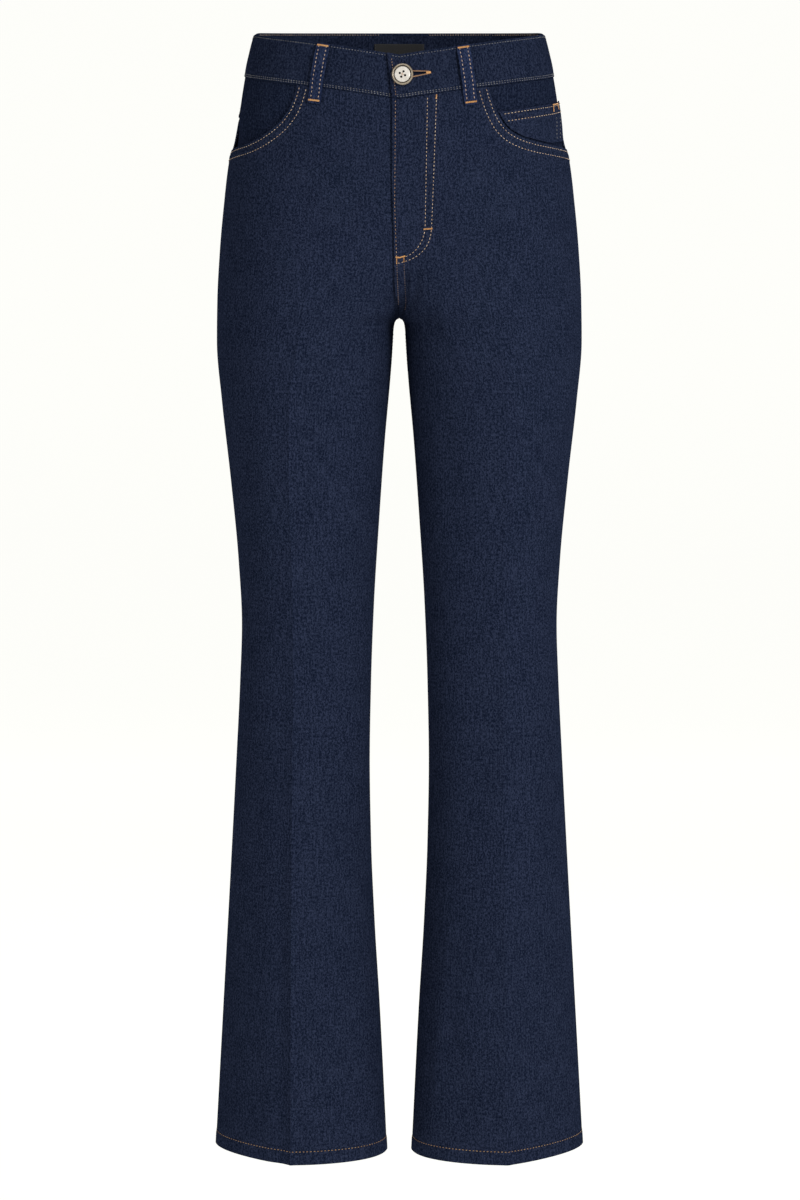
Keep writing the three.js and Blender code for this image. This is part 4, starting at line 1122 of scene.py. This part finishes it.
def sewFront():
    for top, turn, handleA, handleB, end in flySewing["rows"]:
        x, d = curveOf(turn, handleA, handleB, end)
        x = np.concatenate([np.linspace(top[0], turn[0], 60)[:-1], x])
        d = np.concatenate([np.linspace(top[1], turn[1], 60)[:-1], d])
        sewFrontRow("flyStitches", x, d)
    d = np.linspace(42.5, 203, 90)
    sewFrontRow("bandEndStitches", np.interp(d, flySewing["edge"]["d"], flySewing["edge"]["x"]), d)
    for top, bottom, last in flySewing["crotch"]:
        d = np.linspace(204, last, 40)
        sewFrontRow("crotchStitches", mix(top, bottom, (d - 204) / 62), d, 2.5)
    for ends, wide in flySewing["tacks"]:
        x, d = np.array(ends).T
        u = uAtX("front", x, d)
        sewTack(1, "front", list(zip(u, d)), lambda u, d: frontRise(1, u, d), wide)
    # Two rows along each pocket mouth
    for side in (1, -1):
        for offset in twinRows["mouth"]:
            u, d = besideMouth(side, offset)
            sewRow("pocketStitches", side, "front", u, d, frontRise(side, u, d))
    # A row beside each inseam
    d = np.linspace(cut["crotch"] + 12, cut["outseam"] - sewing["hem"], 400)
    for side in (1, -1):
        u = relief["inseamRow"] / longAt("front", d)
        sewRow("inseamStitches", side, "front", u, d, frontRise(side, u, d) + 0.05)


def besideMouth(side, offset):
    # A line at an even distance from the edge of a pocket's mouth
    u, d = mouth[side]
    long = longAt("front", d)
    path = np.stack([u * long, d], -1)
    ahead = np.gradient(path, axis=0)
    ahead /= np.linalg.norm(ahead, axis=1, keepdims=True)
    path = path + offset * np.stack([-ahead[:, 1], ahead[:, 0]], -1)
    u, d = path[:, 0] / longAt("front", path[:, 1]), path[:, 1]
    inside = (u < 0.9985) & (d > bandEdge + 0.8)
    return u[inside], d[inside]


def sewBack():
    for side in (1, -1):
        gap = np.linspace(0.01, 0.995, 120)
        for offset in twinRows["yoke"]:
            d = topOfBack(gap) - offset
            sewRow("backStitches", side, "back", gap, d, backRise(side, gap, d))
        # Rows beside the back pocket's edge, rows at its hem and tacks at its top corners
        for offset in backPocket["rows"]:
            a = 1 - offset / backPocket["half"]
            b = 1 - offset / backPocket["tall"]
            corner = [(a, 0.01), (a, b * 0.985), (0, b), (-a, b * 0.985), (-a, 0.01)]
            a1, b1 = (np.concatenate([np.linspace(p[k], q[k], 60)[:-1] for p, q in zip(corner, corner[1:])])
                      for k in (0, 1))
            pocketRow("pocketBackStitches", side, a1, b1)
        for b in (0.018, backPocket["hem"] / 132):
            pocketRow("pocketBackStitches", side, np.linspace(-0.97, 0.97, 60), np.full(60, b))
        for a in (-0.95, 0.95):
            u, d, rise = backPocketAt(side, np.array([a, a * 0.985]), np.array([0.008, 0.075]))
            sewTack(side, "back", list(zip(u, d)), rise.mean(), wide=2.2)
    # The seat seam lies to the left of the middle
    d = np.linspace(bandEdge + 1, cut["crotch"] - 8, 260)
    for x in twinRows["seat"]:
        u = uAtX("back", x, d)
        sewRow("backStitches", 1, "back", u, d, backRise(1, u, d))


def backPocketAt(side, a, b):
    u, d = backPocketSpots(a, b)
    return u, d, backPocketRise(side, u, d, a, b)


def pocketRow(piece, side, a, b):
    u, d, rise = backPocketAt(side, a, b)
    sewRow(piece, side, "back", u, d, rise)


def sewBand():
    for side, face, start, end, _ in bandQuarters():
        for row in (band["row"],) + band["lowRows"]:
            long = longAt(face, row)
            first = (bandStart(row) + 4.2) / long if start < 0 else start
            last = (0.6 - bandStart(row)) / long if end < 0 else end
            u = np.linspace(first, last, 200)
            thread = "backTopStitches" if row == band["row"] and face == "back" else "bandStitches"
            sewRow(thread, side, face, u, row, bandRise(side, face, u, row), 2.9, wide=0.8)
            u = np.linspace(max(first, 20 / long), max(last, 30 / long), 200)
            level = band["backRow"] if thread == "backTopStitches" else row
            low = bandShift(side, face, u, level) - sewing["bandIn"]
            sewRow(thread, side, face, u, level, low, 2.6, inside=True, wide=0.85)
    d = np.linspace(band["row"] + 2, 39, 30)
    u = (bandStart(d) + 4.0) / longAt("front", d)
    sewRow("bandEndStitches", 1, "front", u, d, bandRise(1, "front", u, d), 2.7)


def sewButtonhole():
    # Close stitches on both sides of the slot, and a tack over its end
    x = np.arange(hole["from"] + 3, hole["to"] + 0.5, 0.52)
    for way in (-1, 1):
        points, normals = holeEdge(x, way, 0.8)
        ahead = np.gradient(points, axis=0)
        addStitches("buttonholeStitches", points, np.cross(normals, ahead), normals, 1.35, 1.15)
    points, normals = holeEdge(np.arange(hole["to"] - 2.4, hole["to"] + 1.6, 0.55), 0, 0)
    over = np.cross(normals, np.gradient(points, axis=0))
    addStitches("bartacks", points + normals * 0.35, over, normals, 2.2, 1.2)


def sewLoops():
    for side, face, top, bottom in loopPlaces:
        d = np.linspace(loops["from"] + 1.0, loops["to"] - 1.0, 60)
        for over in (-3.7, 3.7):
            u = loopSpots(face, top, bottom, over, d)
            sewRow("loopStitches", side, face, u, d, loopRise(d) + loops["thick"] - 0.25, 3.9)
        for level in (loops["from"] + 2.0, loops["to"] - 3.0):
            ends = [(float(loopSpots(face, top, bottom, over, level)), level)
                    for over in (-5.2, 5.2)]
            sewTack(side, face, ends, float(loopRise(level)) + loops["thick"], wide=2.0)


def onCoin(u, d):
    return facingRise(1, u, d) + coin["lift"] + coin["thick"] + 0.2


def sewCoinPocket():
    share = np.linspace(0.03, 0.985, 60)
    for offset in twinRows["coin"]:
        d = mix(coin["innerTop"], coin["outerTop"], share) + offset
        u = mix(coinEdge(d), 1 - coin["fromSeam"] / longAt("front", d), share)
        sewRow("pocketStitches", 1, "front", u, d, onCoin(u, d))
    d = np.linspace(77, 99, 30)
    for top, bottom in ((152.1, 154.6), (156.0, 158.0)):
        u = uAtX("front", mix(top, bottom, (d - 77) / 22), d)
        sewRow("bandStitches", 1, "front", u, d, onCoin(u, d))
    for ends in (((148.2, 65.6), (153.6, 65.1)), ((148.6, 65.6), (149.2, 72)),
                 ((153.3, 65.6), (154.6, 70.5))):
        x, d = np.array(ends).T
        u = uAtX("front", x, d)
        sewTack(1, "front", list(zip(u, d)), onCoin(u, d).mean(), wide=1.4)


def sewHems():
    d = cut["outseam"] - sewing["hem"] + 0.8
    for side in (1, -1):
        for face, rise in (("front", frontRise), ("back", backRise)):
            u = np.linspace(0.004, 0.996, 300)
            high = rise(side, u, d + 0 * u)
            sewRow("hemStitches", side, face, u, d, high)
            sewRow("hemStitches", side, face, u, d + 0.4, high - sewing["cloth"] - sewing["hemExtra"],
                   inside=True)


def sewLabel():
    d = np.linspace(label["top"] + 0.6, label["bottom"] - 0.6, 12)
    low = -sewing["bandIn"] - sewing["gap"] - label["thick"]
    for side in (1, -1):
        u = (label["width"] / 2 - 1.2) / longAt("back", d)
        sewRow("labelStitches", side, "back", u, d, low, 1.6, inside=True, wide=0.5)


def sewZip():
    # The teeth of the closed zip lie across its tape
    d = np.arange(zipStrip["top"] + 2, zipStrip["bottom"] - 2, 1.9)
    middle = (zipStrip["from"] + zipStrip["to"]) / 2
    points, normals = onCloth(1, "front", middle / longAt("front", d), d, zipStrip["high"])
    across = np.cross(normals, np.gradient(points, axis=0))
    addStitches("zipTeeth", points, across, normals, 5.5, 0.8)


for sew in (sewZip, sewFront, sewBack, sewBand, sewButtonhole, sewLoops, sewCoinPocket, sewHems,
            sewLabel, sewButton):
    sew()

# The finish and the slot of each run of sewing
threads = {
    "flyStitches": ("threadTan", "denim"),
    "pocketStitches": ("threadTan", "denim"),
    "inseamStitches": ("threadDull", "denim"),
    "backStitches": ("threadTan", "denim"),
    "pocketBackStitches": ("threadTan", "denim"),
    "bandStitches": ("threadPale", "denim"),
    "bandEndStitches": ("threadRust", "denim"),
    "backTopStitches": ("threadTan", "denim"),
    "crotchStitches": ("threadDusk", "denim"),
    "loopStitches": ("threadCream", "denim"),
    "hemStitches": ("threadGold", "denim"),
    "bartacks": ("threadOrange", "denim"),
    "labelStitches": ("threadDull", "label"),
    "buttonholeStitches": ("threadBrown", "denim"),
    "buttonThread": ("threadCream", "button"),
    "zipTeeth": ("brass", "zip"),
}
# The two colours that each thread drifts between, from spot to spot
threadColors = {
    "threadTan": ((0.60, 0.47, 0.34), (0.38, 0.24, 0.15)),
    "threadPale": ((0.25, 0.25, 0.25), (0.09, 0.09, 0.10)),
    "threadBrown": ((0.40, 0.22, 0.11), (0.12, 0.06, 0.035)),
    "threadDusk": ((0.20, 0.13, 0.09), (0.08, 0.05, 0.04)),
    "threadRust": ((0.36, 0.23, 0.15), (0.16, 0.08, 0.05)),
    "threadCream": ((0.62, 0.46, 0.35), (0.42, 0.28, 0.20)),
    "threadGold": ((0.42, 0.26, 0.12), (0.22, 0.11, 0.045)),
    "threadOrange": ((0.66, 0.35, 0.13), (0.46, 0.21, 0.06)),
    "threadDull": ((0.090, 0.088, 0.098), (0.030, 0.028, 0.034)),
}
threadFinish = {name: makeSmooth(name, (*light, 1), (*dark, 1), 0.6, 110.0, 0.00002)
                for name, (light, dark) in threadColors.items()}
threadFinish["brass"] = makeSmooth("brass", (0.62, 0.46, 0.22, 1), (0.42, 0.30, 0.13, 1),
                                   0.3, 300.0, Metallic=0.9)


def joinStitches(name):
    points = np.concatenate(runs[name])
    count, each = points.shape[:2]
    faces = (stitchFaces[None] + np.arange(count)[:, None, None] * each).reshape(-1, 3)
    mesh = bpy.data.meshes.new(name)
    mesh.from_pydata((points * mm).reshape(-1, 3), [], faces.tolist())
    piece = bpy.data.objects.new(name, mesh)
    bpy.context.collection.objects.link(piece)
    onlyActive(piece)
    bpy.ops.object.shade_smooth()
    material, slot = threads[name]
    dress(piece, slot, materials=(threadFinish[material],))
    print(name, count)


for name in threads:
    joinStitches(name)

# Room, lights and camera
print("room, lights and camera")
room = {"floor": -1.42, "wide": 14.0, "front": -6.0, "wall": 5.0, "high": 6.0, "curve": 1.0}


def makeRoom():
    bpy.ops.object.select_all(action="DESELECT")
    bpy.ops.mesh.primitive_plane_add(size=1)
    floor = bpy.context.object
    floor.name = floor.data.name = "floor"
    floor.scale = (room["wide"], room["wall"] - room["front"], 1)
    floor.location = (0, (room["wall"] + room["front"]) / 2, room["floor"])
    bpy.ops.object.transform_apply(location=True, rotation=True, scale=True)
    bpy.ops.object.mode_set(mode="EDIT")
    mesh = bmesh.from_edit_mesh(floor.data)
    for edge in mesh.edges:
        edge.select_set(all(v.co.y > room["wall"] - 0.01 for v in edge.verts))
    mesh.select_flush(False)
    bmesh.update_edit_mesh(floor.data)
    for i in range(10):
        turn = math.pi / 2 * (i + 0.5) / 10
        step = room["curve"] * math.pi / 20
        move = (0, step * math.cos(turn), step * math.sin(turn))
        bpy.ops.mesh.extrude_region_move(TRANSFORM_OT_translate={"value": move})
    bpy.ops.mesh.extrude_region_move(TRANSFORM_OT_translate={"value": (0, 0, room["high"])})
    bpy.ops.object.mode_set(mode="OBJECT")
    bpy.ops.object.shade_smooth()
    material, w, shader = newMaterial("paleFloor")
    spot = w.node("TexCoord").outputs["Object"]
    tone = w.ranged(w.noise(spot, 3.0, 2.0), 0.3, 0.7, (0.035, 0.040))
    color = w.node("CombineColor", {0: tone, 1: tone, 2: w.math("MULTIPLY", tone, 0.965)})
    w.tree.links.new(color.outputs[0], shader.inputs["Base Color"])
    shader.inputs["Roughness"].default_value = 0.9
    shader.inputs["Emission Color"].default_value = (1, 1, 0.964, 1)
    shader.inputs["Emission Strength"].default_value = 0.955
    floor.data.materials.append(material)


def areaLight(name, place, size, power, aim=(0, 0, -0.55)):
    bpy.ops.object.light_add(type="AREA", location=place)
    lamp = bpy.context.object
    lamp.name = name
    lamp.data.size, lamp.data.energy = size, power
    lamp.rotation_euler = (Vector(aim) - Vector(place)).to_track_quat("-Z", "Y").to_euler()


makeRoom()
areaLight("keyLight", (2.2, -2.7, 0.9), 1.3, 101)
areaLight("fillLight", (-2.4, -2.4, 0.1), 2.2, 24)
areaLight("topLight", (0, 0.4, 2.6), 2.4, 30)
areaLight("backLight", (0.6, 2.6, 0.6), 2.2, 50)
world = bpy.data.worlds.new("studio")
bpy.context.scene.world = world
world.use_nodes = True
w = Wiring(world.node_tree)
soft = world.node_tree.nodes["Background"]
soft.inputs["Color"].default_value = (1.0, 0.995, 0.975, 1)
# Pale where the camera looks past the room, dim as a light
seen = w.ranged(w.node("LightPath").outputs["Is Camera Ray"], 0.0, 1.0, (0.16, 0.99))
world.node_tree.links.new(seen, soft.inputs["Strength"])

view = {"distance": 3.2, "elevation": 5, "aim": (0.0007, 0, -0.5576), "lens": 96}
back = Vector((0, -math.cos(math.radians(view["elevation"])), math.sin(math.radians(view["elevation"]))))
bpy.ops.object.camera_add(location=Vector(view["aim"]) + back * view["distance"])
camera = bpy.context.object
camera.rotation_euler = (-back).to_track_quat("-Z", "Y").to_euler()
camera.data.lens, camera.data.sensor_width = view["lens"], 36
camera.data.clip_start, camera.data.clip_end = 0.05, 60
bpy.context.scene.camera = camera
bpy.context.scene.view_settings.view_transform = "Standard"
